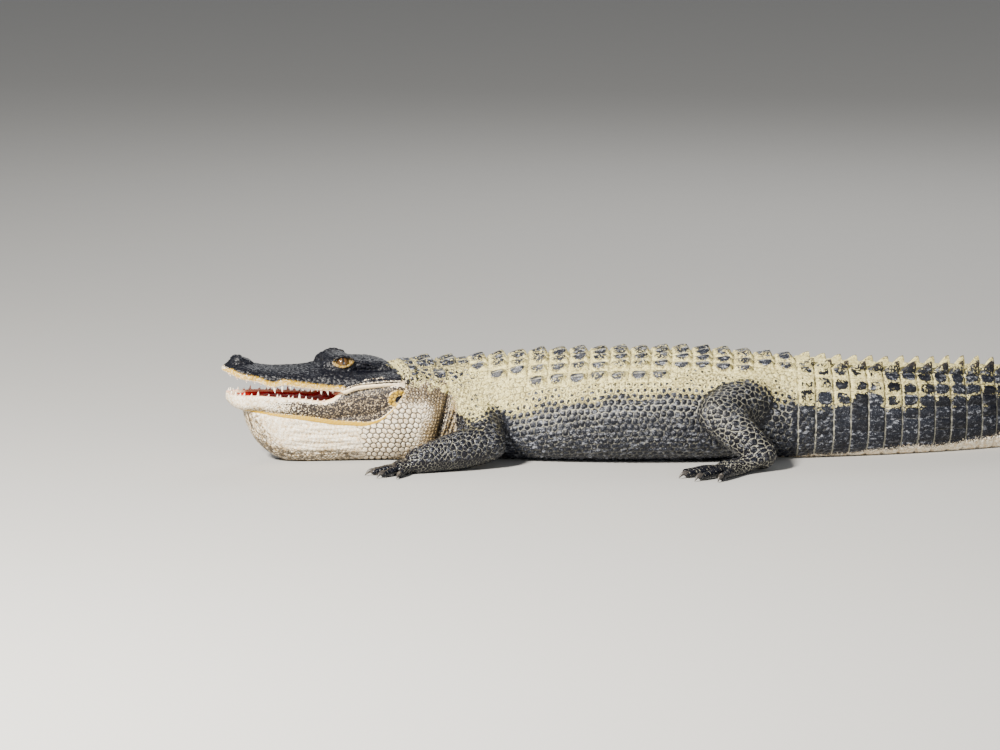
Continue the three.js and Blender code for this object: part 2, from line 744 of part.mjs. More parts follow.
const TONGUE = { start: 62, end: 200, tip: 40, inset: 7, low: -22, middle: -9, high: -4 };

/** Tongue, lying in the floor of the mouth. */
function makeTongue() {
  const start = TONGUE.start;
  const bed = mouthFloor(GAP);
  const outline = loft(
    spread(start, TONGUE.end, 20).map((u) => {
      const tip = roundNose(u - start, TONGUE.tip);
      return headRing(u, {
        half: (jaw.half(u) - LIP_RIM - TONGUE.inset) * tip,
        top: lowerLip(u) + TONGUE.high,
        widest: lowerLip(u) + TONGUE.middle,
        bottom: lowerLip(u) + TONGUE.low,
        fullness: 2.2,
        sides: 12,
      });
    }),
  );
  return outline.intersect(bed);
}

// Legs

/** A tapering limb segment through points with their radii, rounded at both ends. */
function tube(stations, { sides = 10, flatten = 1, turns = [0.92, 0.55], steps = 2 } = {}) {
  const curve = new THREE.CatmullRomCurve3(stations.map(({ at }) => new THREE.Vector3(...at)));
  const radiusAt = track(stations.map(({ radius }, i) => [i / (stations.length - 1), radius]));
  const up = new THREE.Vector3(0, 0, 1);
  const ring = (t, radius, shift) => {
    const along = curve.getTangent(t);
    const across = new THREE.Vector3().crossVectors(up, along).normalize();
    const out = new THREE.Vector3().crossVectors(along, across).normalize();
    const middle = curve.getPoint(t).addScaledVector(along, shift);
    return Array.from({ length: sides }, (_, i) => {
      const angle = (2 * Math.PI * i) / sides;
      return middle
        .clone()
        .addScaledVector(across, radius * Math.cos(angle))
        .addScaledVector(out, flatten * radius * Math.sin(angle));
    });
  };
  const [first, last] = [radiusAt(0), radiusAt(1)];
  const cap = turns.map((t) => ({ shift: t, share: Math.sqrt(1 - t * t) }));
  const rings = [
    ...cap.map(({ shift, share }) => ring(0, first * share, -first * flatten * shift)),
    ...spread(0, 1, 1 / (steps * (stations.length - 1))).map((t) => ring(t, radiusAt(t), 0)),
    ...cap.reverse().map(({ shift, share }) => ring(1, last * share, last * flatten * shift)),
  ];
  return loft(rings);
}

const REACH = 420;

/** Everything beyond a plane through a point, on the side that the direction points to. */
function beyond(point, direction, shift = 0) {
  const geometry = new THREE.BoxGeometry(REACH, REACH, REACH).translate(0, 0, REACH / 2 + shift);
  const turn = new THREE.Quaternion().setFromUnitVectors(new THREE.Vector3(0, 0, 1), direction);
  geometry.applyQuaternion(turn);
  geometry.translate(...point);
  return solidOf(geometry);
}

/** Direction halfway between the segment that comes into a joint and the one that leaves it. */
function throughJoint(before, joint, after) {
  const point = new THREE.Vector3(...joint);
  const into = point.clone().sub(new THREE.Vector3(...before)).normalize();
  const away = new THREE.Vector3(...after).sub(point).normalize();
  return into.add(away).normalize();
}

const CLAW_LENGTH = 17;
const TOE_FORM = { sides: 6, turns: [0.7], steps: 1 };
const CLAW_FORM = { sides: 4, turns: [], steps: 1 };
const TOE_RISE = 4;

/** One toe with its claw, lying on the floor from start, at an angle in plan. */
function toe(start, angle, length, radius, hasClaw) {
  const along = (distance, z) => [
    start[0] + distance * Math.cos(radians(angle)),
    start[1] + distance * Math.sin(radians(angle)),
    z,
  ];
  const flesh = tube(
    [
      { at: along(0, radius + TOE_RISE), radius: radius * 1.15 },
      { at: along(length / 2, radius + TOE_RISE - 1), radius },
      { at: along(length, radius - 1), radius: radius * 0.75 },
    ],
    TOE_FORM,
  );
  if (!hasClaw) return flesh;
  const claw = tube(
    [
      { at: along(length - 2, radius), radius: radius * 0.55 },
      { at: along(length + 0.55 * CLAW_LENGTH, radius - 0.5), radius: radius * 0.4 },
      { at: along(length + CLAW_LENGTH, 1.6), radius: 0.7 },
    ],
    CLAW_FORM,
  );
  return flesh.add(claw);
}

const PALM_HEIGHT = 15;
const KNUCKLE_HEIGHT = 9;
const TOE_START = 0.95;
const TOE_FAN = 0.55;

/** A foot on the floor: a flat palm from the wrist or ankle, and toes fanned out from it. */
function makeFoot(leg) {
  const { wrist, toward, foot } = leg;
  const out = (distance, turn = 0) => [
    wrist[0] + distance * Math.cos(radians(toward + turn)),
    wrist[1] + distance * Math.sin(radians(toward + turn)),
  ];
  const palm = tube(
    [
      { at: wrist, radius: foot.wristRadius },
      { at: [...out(0.5 * foot.palmLength), PALM_HEIGHT], radius: foot.palmWidth * 0.42 },
      { at: [...out(foot.palmLength), KNUCKLE_HEIGHT], radius: foot.palmWidth * 0.5 },
    ],
    { sides: 8, flatten: 0.62 },
  );
  const toes = foot.toes.map(({ turn, length, radius, claw }) =>
    toe(out(foot.palmLength * TOE_START, turn * TOE_FAN), toward + turn, length, radius, claw),
  );
  return join([palm, ...toes, ...webs(foot, out)]);
}

const WEB_THICKNESS = 3;
const WEB_HEIGHT = 3;
const WEB_ROOT = 0.6;

/** Thin skin between the toes, as far out as the foot's share of their length. */
function webs(foot, out) {
  if (foot.web === 0) return [];
  return foot.toes.slice(1).map((next, i) => {
    const here = foot.toes[i];
    const tips = [here, next].map(({ turn, length }) => {
      const reach = foot.palmLength * TOE_START + foot.web * length;
      return new THREE.Vector2(...out(reach, turn * THREE.MathUtils.lerp(TOE_FAN, 1, foot.web)));
    });
    const root = new THREE.Vector2(...out(foot.palmLength * WEB_ROOT));
    const shape = new THREE.Shape([root, ...tips]);
    const geometry = new THREE.ExtrudeGeometry(shape, { depth: WEB_THICKNESS, bevelEnabled: false });
    return solidOf(geometry.translate(0, 0, WEB_HEIGHT));
  });
}

const FOREFOOT = {
  wristRadius: 23,
  palmLength: 36,
  palmWidth: 50,
  web: 0,
  toes: [
    { turn: 52, length: 34, radius: 6.5, claw: true },
    { turn: 24, length: 48, radius: 7, claw: true },
    { turn: -2, length: 52, radius: 7, claw: true },
    { turn: -28, length: 46, radius: 6, claw: false },
    { turn: -54, length: 36, radius: 5.5, claw: false },
  ],
};
const HINDFOOT = {
  wristRadius: 27,
  palmLength: 84,
  palmWidth: 56,
  web: 0.62,
  toes: [
    { turn: 26, length: 62, radius: 8, claw: true },
    { turn: 9, length: 82, radius: 8, claw: true },
    { turn: -8, length: 86, radius: 7.5, claw: true },
    { turn: -25, length: 74, radius: 6.5, claw: false },
  ],
};

const mirrored = (foot) => ({ ...foot, toes: foot.toes.map((digit) => ({ ...digit, turn: -digit.turn })) });

// Joints in x, y and z; radii at the root, the middle joint and the wrist; heading of the foot in plan.
const LEGS = {
  foreleg_left: { root: [-272, -72, 98], joint: [-252, -166, 46], wrist: [-382, -222, 22], toward: 200,
    radii: [48, 35, 24], bulge: 36, foot: FOREFOOT },
  foreleg_right: { root: [-268, 66, 98], joint: [-232, 168, 48], wrist: [-352, 238, 22], toward: 158,
    radii: [48, 35, 24], bulge: 36, foot: mirrored(FOREFOOT) },
  hindleg_left: { root: [250, -62, 112], joint: [184, -158, 100], wrist: [264, -196, 30], toward: 216,
    radii: [62, 40, 27], bulge: 37, foot: HINDFOOT },
  hindleg_right: { root: [250, 62, 112], joint: [178, 160, 98], wrist: [252, 202, 30], toward: 146,
    radii: [62, 40, 27], bulge: 37, foot: mirrored(HINDFOOT) },
};

// Line from the wrist along the foot, which the cut at the wrist halves, and the place of the calf.
const FOOT_LINE = { length: 100, height: 10 };
const CALF_PLACE = 0.35;

/** Upper length, lower length and foot of one leg, cut at its joints and clear of the body. */
function makeLeg(name, bodyClearance) {
  const leg = LEGS[name];
  const { root, joint, wrist, radii, bulge } = leg;
  const between = (a, b, t) => a.map((value, i) => value + t * (b[i] - value));
  const upper = tube([
    { at: root, radius: radii[0] },
    { at: between(root, joint, 0.5), radius: (radii[0] + radii[1]) / 2 },
    { at: joint, radius: radii[1] },
  ]);
  const lower = tube([
    { at: joint, radius: radii[1] },
    { at: between(joint, wrist, CALF_PLACE), radius: bulge },
    { at: wrist, radius: radii[2] },
  ]);
  const foot = makeFoot(leg);
  const footEnd = [
    wrist[0] + FOOT_LINE.length * Math.cos(radians(leg.toward)),
    wrist[1] + FOOT_LINE.length * Math.sin(radians(leg.toward)),
    FOOT_LINE.height,
  ];
  const atJoint = throughJoint(root, joint, wrist);
  const atWrist = throughJoint(joint, wrist, footEnd);
  const clear = (solid) => solid.subtract(bodyClearance).subtract(underFloor);
  const back = (direction) => direction.clone().negate();
  const upperNode = clear(upper).subtract(beyond(joint, atJoint));
  const lowerNode = clear(lower)
    .subtract(beyond(joint, back(atJoint), -GAP))
    .subtract(beyond(wrist, atWrist));
  const footNode = clear(foot).subtract(beyond(wrist, back(atWrist), -GAP));
  return { upperNode, lowerNode, footNode };
}

// Colours

const colour = (r, g, b) => new THREE.Color().setRGB(r, g, b, THREE.SRGBColorSpace);
const finish = (color, roughness) => new THREE.MeshStandardMaterial({ color, roughness, metalness: 0 });
const FINISHES = {
  head: finish(colour(0.2, 0.21, 0.25), 0.45),
  jaw: finish(colour(0.84, 0.78, 0.64), 0.6),
  mouth: finish(colour(0.55, 0.16, 0.13), 0.35),
  eye: finish(colour(0.42, 0.29, 0.12), 0.1),
  back: finish(colour(0.62, 0.6, 0.52), 0.8),
  leg: finish(colour(0.19, 0.21, 0.25), 0.5),
};

// Assembly

const alligator = new THREE.Group();
alligator.name = "american_alligator";

/** Adds one solid to the model as a named mesh. */
function addPart(name, solid, material) {
  const mesh = new THREE.Mesh(geometryOf(solid), material);
  mesh.name = name;
  alligator.add(mesh);
}

addPart("head", makeHead(), FINISHES.head);
addPart("lower_jaw", makeLowerJaw(), FINISHES.jaw);
addPart("tongue", makeTongue(), FINISHES.mouth);
addPart("eye_left", eyeball(1, EYE.radius), FINISHES.eye);
addPart("eye_right", eyeball(-1, EYE.radius), FINISHES.eye);
addPart("neck", bodyNode(NECK_START, TORSO_START, 32, BODY_SIDES, neckPlates()), FINISHES.back);
addPart("torso", bodyNode(TORSO_START, VENT, BODY_STEP, BODY_SIDES, trunkPlates()), FINISHES.back);
for (const [i, name] of ["tail_base", "tail_middle", "tail_end"].entries()) {
  const [start, end] = [TAIL_CUTS[i], TAIL_CUTS[i + 1]];
  const plates = tailPlates(start, end);
  addPart(name, bodyNode(start, end, TAIL_STEP, TAIL_SIDES, plates), FINISHES.back);
}

const bodyClearance = join([
  bodyLength(NECK_START, TORSO_START, 32, BODY_SIDES, GAP),
  bodyLength(TORSO_START, VENT, BODY_STEP, BODY_SIDES, GAP),
  bodyLength(VENT, TAIL_CUTS[1], TAIL_STEP, TAIL_SIDES, GAP),
]);
for (const name of Object.keys(LEGS)) {
  const { upperNode, lowerNode, footNode } = makeLeg(name, bodyClearance);
  addPart(`${name}_upper`, upperNode, FINISHES.leg);
  addPart(`${name}_lower`, lowerNode, FINISHES.leg);
  addPart(name.replace("leg", "foot"), footNode, FINISHES.leg);
}

export default alligator;
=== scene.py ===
"""American alligator at life size, resting with its mouth open: the dressed model.

Forms are worked out in millimetres along the spine: s is the distance along it, v the distance to the
animal's left and z the height. u is the distance behind the tip of the snout. The finished meshes are in
metres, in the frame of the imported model.
"""

import logging
import math
from dataclasses import dataclass, field
from enum import Enum
from typing import Callable, Sequence

import bpy
import numpy as np
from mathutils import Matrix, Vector
from mathutils.kdtree import KDTree


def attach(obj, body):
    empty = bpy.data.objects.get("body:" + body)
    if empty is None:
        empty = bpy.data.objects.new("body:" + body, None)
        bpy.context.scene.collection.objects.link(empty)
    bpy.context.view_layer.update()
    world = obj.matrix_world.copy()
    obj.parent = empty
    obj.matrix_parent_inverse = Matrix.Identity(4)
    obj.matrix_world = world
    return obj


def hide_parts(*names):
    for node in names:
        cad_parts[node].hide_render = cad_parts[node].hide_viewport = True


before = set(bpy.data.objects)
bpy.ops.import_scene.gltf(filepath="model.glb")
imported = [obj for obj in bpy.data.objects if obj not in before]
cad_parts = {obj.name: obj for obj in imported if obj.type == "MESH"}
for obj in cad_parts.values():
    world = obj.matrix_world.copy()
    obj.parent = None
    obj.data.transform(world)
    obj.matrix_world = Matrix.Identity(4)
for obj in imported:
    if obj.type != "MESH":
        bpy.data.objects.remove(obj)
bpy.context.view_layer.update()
logging.basicConfig(level=logging.INFO, format="%(message)s")
log = logging.getLogger("alligator")

MM = 0.001
HEAD_LENGTH = 345.0
NECK_START = -418.0
SNOUT_TIP = NECK_START - HEAD_LENGTH
SNOUT_RADIUS = 34.0
TORSO_START = -290.0
VENT = 333.0
TAIL_TIP = 1633.0
BARE_TIP = 25.0
TAIL_PITCH = 32.0
BASE_ROWS = 12
DOUBLE_ROWS = 18
SINGLE_ROWS = 22
TAIL_BASE_END = VENT + TAIL_PITCH * BASE_ROWS
SINGLE_START = VENT + TAIL_PITCH * DOUBLE_ROWS
SINGLE_PITCH = (TAIL_TIP - BARE_TIP - SINGLE_START) / SINGLE_ROWS
BELLY_SINK = 4.0
FAR = 1e9
SIDES = (1, -1)


# Curves and small number helpers


class Track:
    """A smooth curve through (position, value) stations that never overshoots them."""

    def __init__(self, stations: Sequence[tuple[float, float]]) -> None:
        """Stores the stations and works out the slope at each.

        Args:
            stations: Positions, ascending, with their values.
        """
        self.x = np.array([station[0] for station in stations], float)
        self.y = np.array([station[1] for station in stations], float)
        rise = np.diff(self.y) / np.diff(self.x)
        product = rise[:-1] * rise[1:]
        total = np.where(rise[:-1] + rise[1:] == 0, 1.0, rise[:-1] + rise[1:])
        inner = np.where(product > 0, 2 * product / total, 0.0)
        self.slope = np.concatenate([[rise[0]], inner, [rise[-1]]])

    def __call__(self, at: np.ndarray | float) -> np.ndarray:
        """Value of the curve.

        Args:
            at: Positions, which are held within the stations.

        Returns:
            The values there.
        """
        p = np.clip(np.asarray(at, float), self.x[0], self.x[-1])
        i = np.clip(np.searchsorted(self.x, p, side="left") - 1, 0, len(self.x) - 2)
        span = self.x[i + 1] - self.x[i]
        t = (p - self.x[i]) / span
        a = self.y[i] * (1 + 2 * t) * (1 - t) ** 2 + self.slope[i] * span * t * (1 - t) ** 2
        b = self.y[i + 1] * t**2 * (3 - 2 * t) - self.slope[i + 1] * span * t**2 * (1 - t)
        return a + b


def track(*stations: tuple[float, float]) -> Track:
    """A dataclass field whose default is the curve through the stations."""
    return field(default_factory=lambda: Track(stations))


def ease(low: float | np.ndarray, high: float | np.ndarray, x: np.ndarray) -> np.ndarray:
    """Smooth step from 0 at low to 1 at high; low may be the larger of the two."""
    t = np.clip((x - low) / (high - low), 0, 1)
    return t * t * (3 - 2 * t)


def bell(x: np.ndarray, wide: float) -> np.ndarray:
    """A rounded bump that is 1 at 0 and fades out within about twice its width."""
    return np.exp(-((x / wide) ** 2))


def spread(start: float, end: float, step: float) -> np.ndarray:
    """Values from start to end, both included, at most step apart."""
    return np.linspace(start, end, max(1, math.ceil((end - start) / step)) + 1)


def chance(a: np.ndarray, b: np.ndarray | int, seed: int) -> np.ndarray:
    """A repeatable number from 0 to 1 for each pair of whole numbers.

    Args:
        a: Whole numbers.
        b: Whole numbers.
        seed: Which stream of chance.

    Returns:
        One number for each pair.
    """
    mixed = (np.asarray(a, np.int64) * 73856093) ^ (np.asarray(b, np.int64) * 19349663) ^ (seed * 83492791)
    mixed = (mixed ^ (mixed >> 13)) * 1274126177
    mixed = (mixed ^ (mixed >> 16)) & 0xFFFFFF
    return mixed / float(0xFFFFFF)


def ripple(points: np.ndarray, size: float, seed: int) -> np.ndarray:
    """Smooth noise from about -1 to 1 at points in space.

    Args:
        points: Rows of coordinates.
        size: Rough width of its bumps.
        seed: Which pattern.

    Returns:
        One number for each row.
    """
    p = points / size
    base = np.floor(p).astype(np.int64)
    t = p - base
    t = t * t * (3 - 2 * t)
    total = np.zeros(len(points))
    for corner in range(8):
        step = np.array([corner & 1, (corner >> 1) & 1, (corner >> 2) & 1])
        at = base + step
        weight = np.prod(np.where(step == 1, t, 1 - t), axis=1)
        total += weight * chance(at[:, 0] + 7919 * at[:, 2], at[:, 1], seed)
    return 2 * total - 1


@dataclass
class Cells:
    """A pattern of cells over a surface, as numbers for each of its points.

    Attributes:
        inside: Distance in from the border of the point's cell.
        number: The cell's own number from 0 to 1.
        centre: Distance from the cell's middle.
        across: Distance from the cell's middle, measured across the rows only.
    """

    inside: np.ndarray
    number: np.ndarray
    centre: np.ndarray
    across: np.ndarray | None = None

    @staticmethod
    def lattice(
        a: np.ndarray, b: np.ndarray, size: tuple[float, float], jitter: float, seed: int
    ) -> "Cells":
        """Rounded cells round the points of a staggered lattice.

        Args:
            a: First coordinate of each point of the surface.
            b: Second coordinate.
            size: Length and width of a cell.
            jitter: How far a cell's middle strays, as a share of its size.
            seed: Which stream of chance.

        Returns:
            The cells.
        """
        ga, gb = a / size[0], b / size[1]
        row0 = np.floor(gb).astype(np.int64)
        first = np.full(len(a), FAR)
        second = np.full(len(a), FAR)
        number = np.zeros(len(a))
        across = np.zeros(len(a))
        for down in (-1, 0, 1):
            row = row0 + down
            shift = 0.5 * (row & 1)
            column0 = np.floor(ga - shift).astype(np.int64)
            for along in (-1, 0, 1):
                column = column0 + along
                ca = column + 0.5 + shift + jitter * (chance(column, row, seed) - 0.5)
                cb = row + 0.5 + jitter * (chance(column, row, seed + 1) - 0.5)
                far = np.hypot((ga - ca) * size[0], (gb - cb) * size[1])
                nearer = far < first
                second = np.where(nearer, first, np.minimum(second, far))
                number = np.where(nearer, chance(column, row, seed + 2), number)
                across = np.where(nearer, (gb - cb) * size[1], across)
                first = np.where(nearer, far, first)
        return Cells((second - first) / 2, number, first, across)

    @staticmethod
    def scattered(points: np.ndarray, apart: float, seed: int, stretch: Sequence[float] = (1, 1, 1)) -> "Cells":
        """Uneven cells over any surface, round middles that keep their distance.

        Args:
            points: Rows of coordinates on the surface.
            apart: Least distance from one middle to the next.
            seed: Which stream of chance.
            stretch: How much each axis is drawn out first, which makes the cells shorter along it.

        Returns:
            The cells.
        """
        rows = (points * np.asarray(stretch, float)).tolist()
        tree = KDTree(len(rows))
        for i, row in enumerate(rows):
            tree.insert(row, i)
        tree.balance()
        free = bytearray(b"\x01") * len(rows)
        middles = []
        for i in np.argsort(chance(np.arange(len(rows)), 0, seed)).tolist():
            if free[i]:
                middles.append(i)
                for _, j, _ in tree.find_range(rows[i], apart):
                    free[j] = 0
        seeds = KDTree(len(middles))
        for k, i in enumerate(middles):
            seeds.insert(rows[i], k)
        seeds.balance()
        near = [seeds.find_n(row, 2) for row in rows]
        first = np.array([pair[0][2] for pair in near])
        second = np.array([pair[1][2] for pair in near])
        one = np.array([pair[0][1] for pair in near])
        two = np.array([pair[1][1] for pair in near])
        place = np.array([rows[i] for i in middles])
        gap = np.linalg.norm(place[one] - place[two], axis=1)
        return Cells((second**2 - first**2) / (2 * gap), chance(one, 1, seed), first)


# The animal's measured forms


class Spine:
    """The line of the back seen from above."""

    STEP = 2.0
    MARGIN = 60.0

    def __init__(self) -> None:
        """Lays the spine out from its heading at stations."""
        self.heading = Track([
            (SNOUT_TIP, 13), (NECK_START, 13), (-340, 7), (-200, 1), (0, 0), (250, 0), (500, 11),
            (722, 23), (1000, 31), (1300, 21), (TAIL_TIP, -2),
        ])
        ahead = int((TAIL_TIP + self.MARGIN) / self.STEP)
        behind = int((SNOUT_TIP - self.MARGIN) / self.STEP)
        self.s = np.arange(behind, ahead + 1) * self.STEP
        turn = np.radians(self.heading(self.s[:-1] + self.STEP / 2))
        x = np.concatenate([[0], np.cumsum(self.STEP * np.cos(turn))])
        y = np.concatenate([[0], np.cumsum(self.STEP * np.sin(turn))])
        self.x = x - x[-behind]
        self.y = y - y[-behind]

    def place(self, points: np.ndarray) -> np.ndarray:
        """World points for rows of s, v and z."""
        s, v, z = points[..., 0], points[..., 1], points[..., 2]
        turn = np.radians(self.heading(s))
        x = np.interp(s, self.s, self.x) + v * np.sin(turn)
        y = np.interp(s, self.s, self.y) - v * np.cos(turn)
        return np.stack([x, y, z], axis=-1)

    def locate(self, points: np.ndarray) -> np.ndarray:
        """Rows of s, v and z for world points."""
        s = np.interp(points[..., 0], self.x, self.s)
        for _ in range(8):
            turn = np.radians(self.heading(s))
            dx = points[..., 0] - np.interp(s, self.s, self.x)
            dy = points[..., 1] - np.interp(s, self.s, self.y)
            s = s + dx * np.cos(turn) + dy * np.sin(turn)
        turn = np.radians(self.heading(s))
        dx = points[..., 0] - np.interp(s, self.s, self.x)
        dy = points[..., 1] - np.interp(s, self.s, self.y)
        return np.stack([s, dx * np.sin(turn) - dy * np.cos(turn), points[..., 2]], axis=-1)


def superellipse(angle: np.ndarray, above: np.ndarray, below: np.ndarray) -> tuple[np.ndarray, np.ndarray]:
    """Unit section of two half superellipses.

    Args:
        angle: Angle from the top, in radians.
        above: Fullness of the upper half.
        below: Fullness of the lower half.

    Returns:
        Shares of the half width and of the reach up or down.
    """
    power = 2 / np.where(np.cos(angle) >= 0, above, below)
    across = np.sign(np.sin(angle)) * np.abs(np.sin(angle)) ** power
    along = np.sign(np.cos(angle)) * np.abs(np.cos(angle)) ** power
    return across, along


@dataclass
class BodyForm:
    """Sections of the neck, trunk and tail, and of the throat before them."""

    half: Track = track(
        (NECK_START, 101), (-385, 104), (-345, 97), (-300, 106), (-250, 121), (-180, 135), (-90, 148),
        (10, 155), (100, 153), (180, 142), (245, 124), (VENT, 97), (420, 80), (520, 67), (640, 55),
        (722, 48), (860, 39), (1000, 31), (1150, 24), (1300, 17), (1450, 11), (1560, 7), (TAIL_TIP, 3),
    )
    top: Track = track(
        (NECK_START, 177), (-345, 177), (-250, 181), (-180, 187), (-90, 191), (20, 193), (120, 193),
        (200, 190), (VENT, 181), (460, 169), (560, 162), (722, 151), (860, 135), (1000, 116),
        (1150, 94), (1300, 69), (1450, 43), (1560, 25), (TAIL_TIP, 9),
    )
    widest: Track = track(
        (NECK_START, 100), (-345, 92), (-250, 80), (-90, 72), (100, 70), (VENT, 72), (560, 62),
        (860, 52), (1150, 38), (1450, 18), (TAIL_TIP, 5),
    )
    above: Track = track(
        (NECK_START, 2.3), (-250, 2.3), (0, 2.4), (VENT, 2.5), (560, 2.7), (800, 2.2), (TAIL_TIP, 2),
    )
    below: Track = track(
        (NECK_START, 2.5), (0, 2.8), (VENT, 2.6), (700, 2.4), (TAIL_TIP, 2.2),
    )

    def rings(self, stations: np.ndarray, sides: int) -> np.ndarray:
        """Rings of s, v and z round the body.

        Args:
            stations: Places along the spine.
            sides: Points in a ring.

        Returns:
            An array of rings by points by three.
        """
        s, angle = np.meshgrid(stations, np.linspace(0, 2 * np.pi, sides, endpoint=False), indexing="ij")
        across, along = superellipse(angle, self.above(s), self.below(s))
        widest = self.widest(s)
        reach = np.where(along > 0, self.top(s) - widest, widest + BELLY_SINK)
        return np.stack([s, self.half(s) * across, widest + reach * along], axis=-1)


@dataclass
class HeadForm:
    """Outlines of the head and lower jaw, by the distance behind the tip of the snout."""

    corner: float = 217.0
    rim: float = 11.0
    jaw_start: float = 7.0
    half: Track = track(
        (0, 47), (30, 48), (45, 51), (62, 52), (92, 61), (150, 68), (185, 73), (217, 80), (255, 89),
        (290, 95), (320, 93), (HEAD_LENGTH, 82),
    )
    top: Track = track(
        (0, 186), (30, 190), (60, 184), (107, 178), (150, 178), (190, 183), (225, 180), (260, 173),
        (300, 171), (HEAD_LENGTH, 177),
    )
    fullness: Track = track(
        (0, 2.6), (60, 2.9), (190, 2.6), (260, 2.2), (HEAD_LENGTH, 2.3),
    )
    lip_back: Track = track(
        (217, 138.5), (246, 149), (300, 153), (HEAD_LENGTH + 20, 150),
    )
    lip_above: Track = track(
        (-20, 176), (0, 175), (30, 163), (56, 158), (87, 148), (107, 152), (130, 148), (150, 145),
        (190, 140), (217, 138.5),
    )
    lip_below: Track = track(
        (-20, 134), (0, 133), (30, 130), (60, 130), (90, 128), (150, 123), (180, 119), (200, 124),
        (217, 138.5),
    )
    jaw_half: Track = track(
        (7, 40), (30, 42), (60, 47), (92, 55), (150, 63), (185, 68), (217, 74), (250, 84), (290, 95),
        (315, 98), (334, 92),
    )
    jaw_bottom: Track = track(
        (7, 120), (20, 106), (35, 100), (60, 97), (92, 91), (146, 83), (217, 73), (260, 72), (290, 80),
        (315, 98), (334, 118),
    )
    throat_half: Track = track(
        (40, 10), (46, 24), (56, 35), (75, 44), (110, 53), (150, 60), (185, 65), (217, 71), (250, 79),
        (290, 92), (320, 100), (HEAD_LENGTH, 101),
    )
    throat_bottom: Track = track(
        (40, 96), (46, 74), (56, 52), (70, 32), (90, 15), (112, 3), (135, -2), (160, -BELLY_SINK),
        (HEAD_LENGTH, -BELLY_SINK),
    )
    throat_top: Track = track(
        (40, 112), (217, 120), (260, 150), (HEAD_LENGTH, 177),
    )
    throat_widest: Track = track(
        (40, 100), (90, 76), (217, 66), (290, 88), (HEAD_LENGTH, 100),
    )

    def upper_lip(self, u: np.ndarray | float) -> np.ndarray:
        """Height of the upper lip."""
        return np.where(np.asarray(u) < self.corner, self.lip_above(u), self.lip_back(u))

    def lower_lip(self, u: np.ndarray | float) -> np.ndarray:
        """Height of the lower lip."""
        return np.where(np.asarray(u) < self.corner, self.lip_below(u), self.lip_back(u))

    @staticmethod
    def nose(u: np.ndarray | float, radius: float) -> np.ndarray:
        """Share of the full width at u behind a rounded front of that radius."""
        t = np.clip(1 - np.asarray(u) / radius, 0, 1)
        return np.sqrt(np.maximum(1 - t * t, 0.004))

    def upper_half(self, u: np.ndarray | float) -> np.ndarray:
        """Half width of the upper jaw with its rounded front."""
        return self.half(u) * self.nose(u, SNOUT_RADIUS)

    def lower_half(self, u: np.ndarray | float) -> np.ndarray:
        """Half width of the lower jaw with its rounded front."""
        return self.jaw_half(u) * self.nose(np.asarray(u) - self.jaw_start, SNOUT_RADIUS)


@dataclass(frozen=True)
class Eye:
    """Where an eye sits, how large it is and how many degrees it looks up."""

    u: float = 222.0
    v: float = 42.0
    z: float = 187.0
    radius: float = 14.0
    tilt: float = 24.0


@dataclass(frozen=True)
class Toe:
    """One toe: its turn from the foot's line, its length and radius, and whether it has a claw."""

    turn: float
    length: float
    radius: float
    claw: bool


@dataclass(frozen=True)
class Foot:
    """A foot's sizes and toes."""

    wrist_radius: float
    palm_length: float
    palm_width: float
    web: float
    toes: tuple[Toe, ...]


FOREFOOT = Foot(23, 36, 50, 0.3, (
    Toe(52, 34, 6.5, True), Toe(24, 48, 7, True), Toe(-2, 52, 7, True), Toe(-28, 46, 6, False),
    Toe(-54, 36, 5.5, False),
))
HINDFOOT = Foot(27, 84, 56, 0.62, (
    Toe(26, 62, 8, True), Toe(9, 82, 8, True), Toe(-8, 86, 7.5, True), Toe(-25, 74, 6.5, False),
))


@dataclass(frozen=True)
class Leg:
    """A leg's joints in world millimetres, its radii at them and the heading of its foot."""

    name: str
    side: int
    root: tuple[float, float, float]
    joint: tuple[float, float, float]
    wrist: tuple[float, float, float]
    toward: float
    radii: tuple[float, float, float]
    bulge: float
    foot: Foot

    @property
    def nodes(self) -> tuple[str, str, str]:
        """Names of the solids that make up the leg."""
        return f"{self.name}_upper", f"{self.name}_lower", self.name.replace("leg", "foot")

    def out(self, distance: float, turn: float = 0.0) -> tuple[float, float]:
        """A place on the floor plan at a distance from the wrist, turned from the foot's line."""
        angle = math.radians(self.toward + self.side * turn)
        return self.wrist[0] + distance * math.cos(angle), self.wrist[1] + distance * math.sin(angle)

    def toe_point(self, toe: Toe, far: float, z: float) -> tuple[float, float, float]:
        """A place at a distance along a toe from the toe's root, at a height."""
        x, y = self.out(self.foot.palm_length * 0.95, toe.turn * 0.55)
        angle = math.radians(self.toward + self.side * toe.turn)
        return x + far * math.cos(angle), y + far * math.sin(angle), z


LEGS = (
    Leg("foreleg_left", 1, (-272, -72, 98), (-252, -166, 46), (-382, -222, 22), 200, (48, 35, 24), 36, FOREFOOT),
    Leg("foreleg_right", -1, (-268, 66, 98), (-232, 168, 48), (-352, 238, 22), 158, (48, 35, 24), 36, FOREFOOT),
    Leg("hindleg_left", 1, (250, -62, 112), (184, -158, 100), (264, -196, 30), 216, (62, 40, 27), 37, HINDFOOT),
    Leg("hindleg_right", -1, (250, 62, 112), (178, 160, 98), (252, 202, 30), 146, (62, 40, 27), 37, HINDFOOT),
)


# Meshes


def linked(name: str, data: bpy.types.ID) -> bpy.types.Object:
    """A new object of the scene that shows some data."""
    made = bpy.data.objects.new(name, data)
    bpy.context.scene.collection.objects.link(made)
    return made


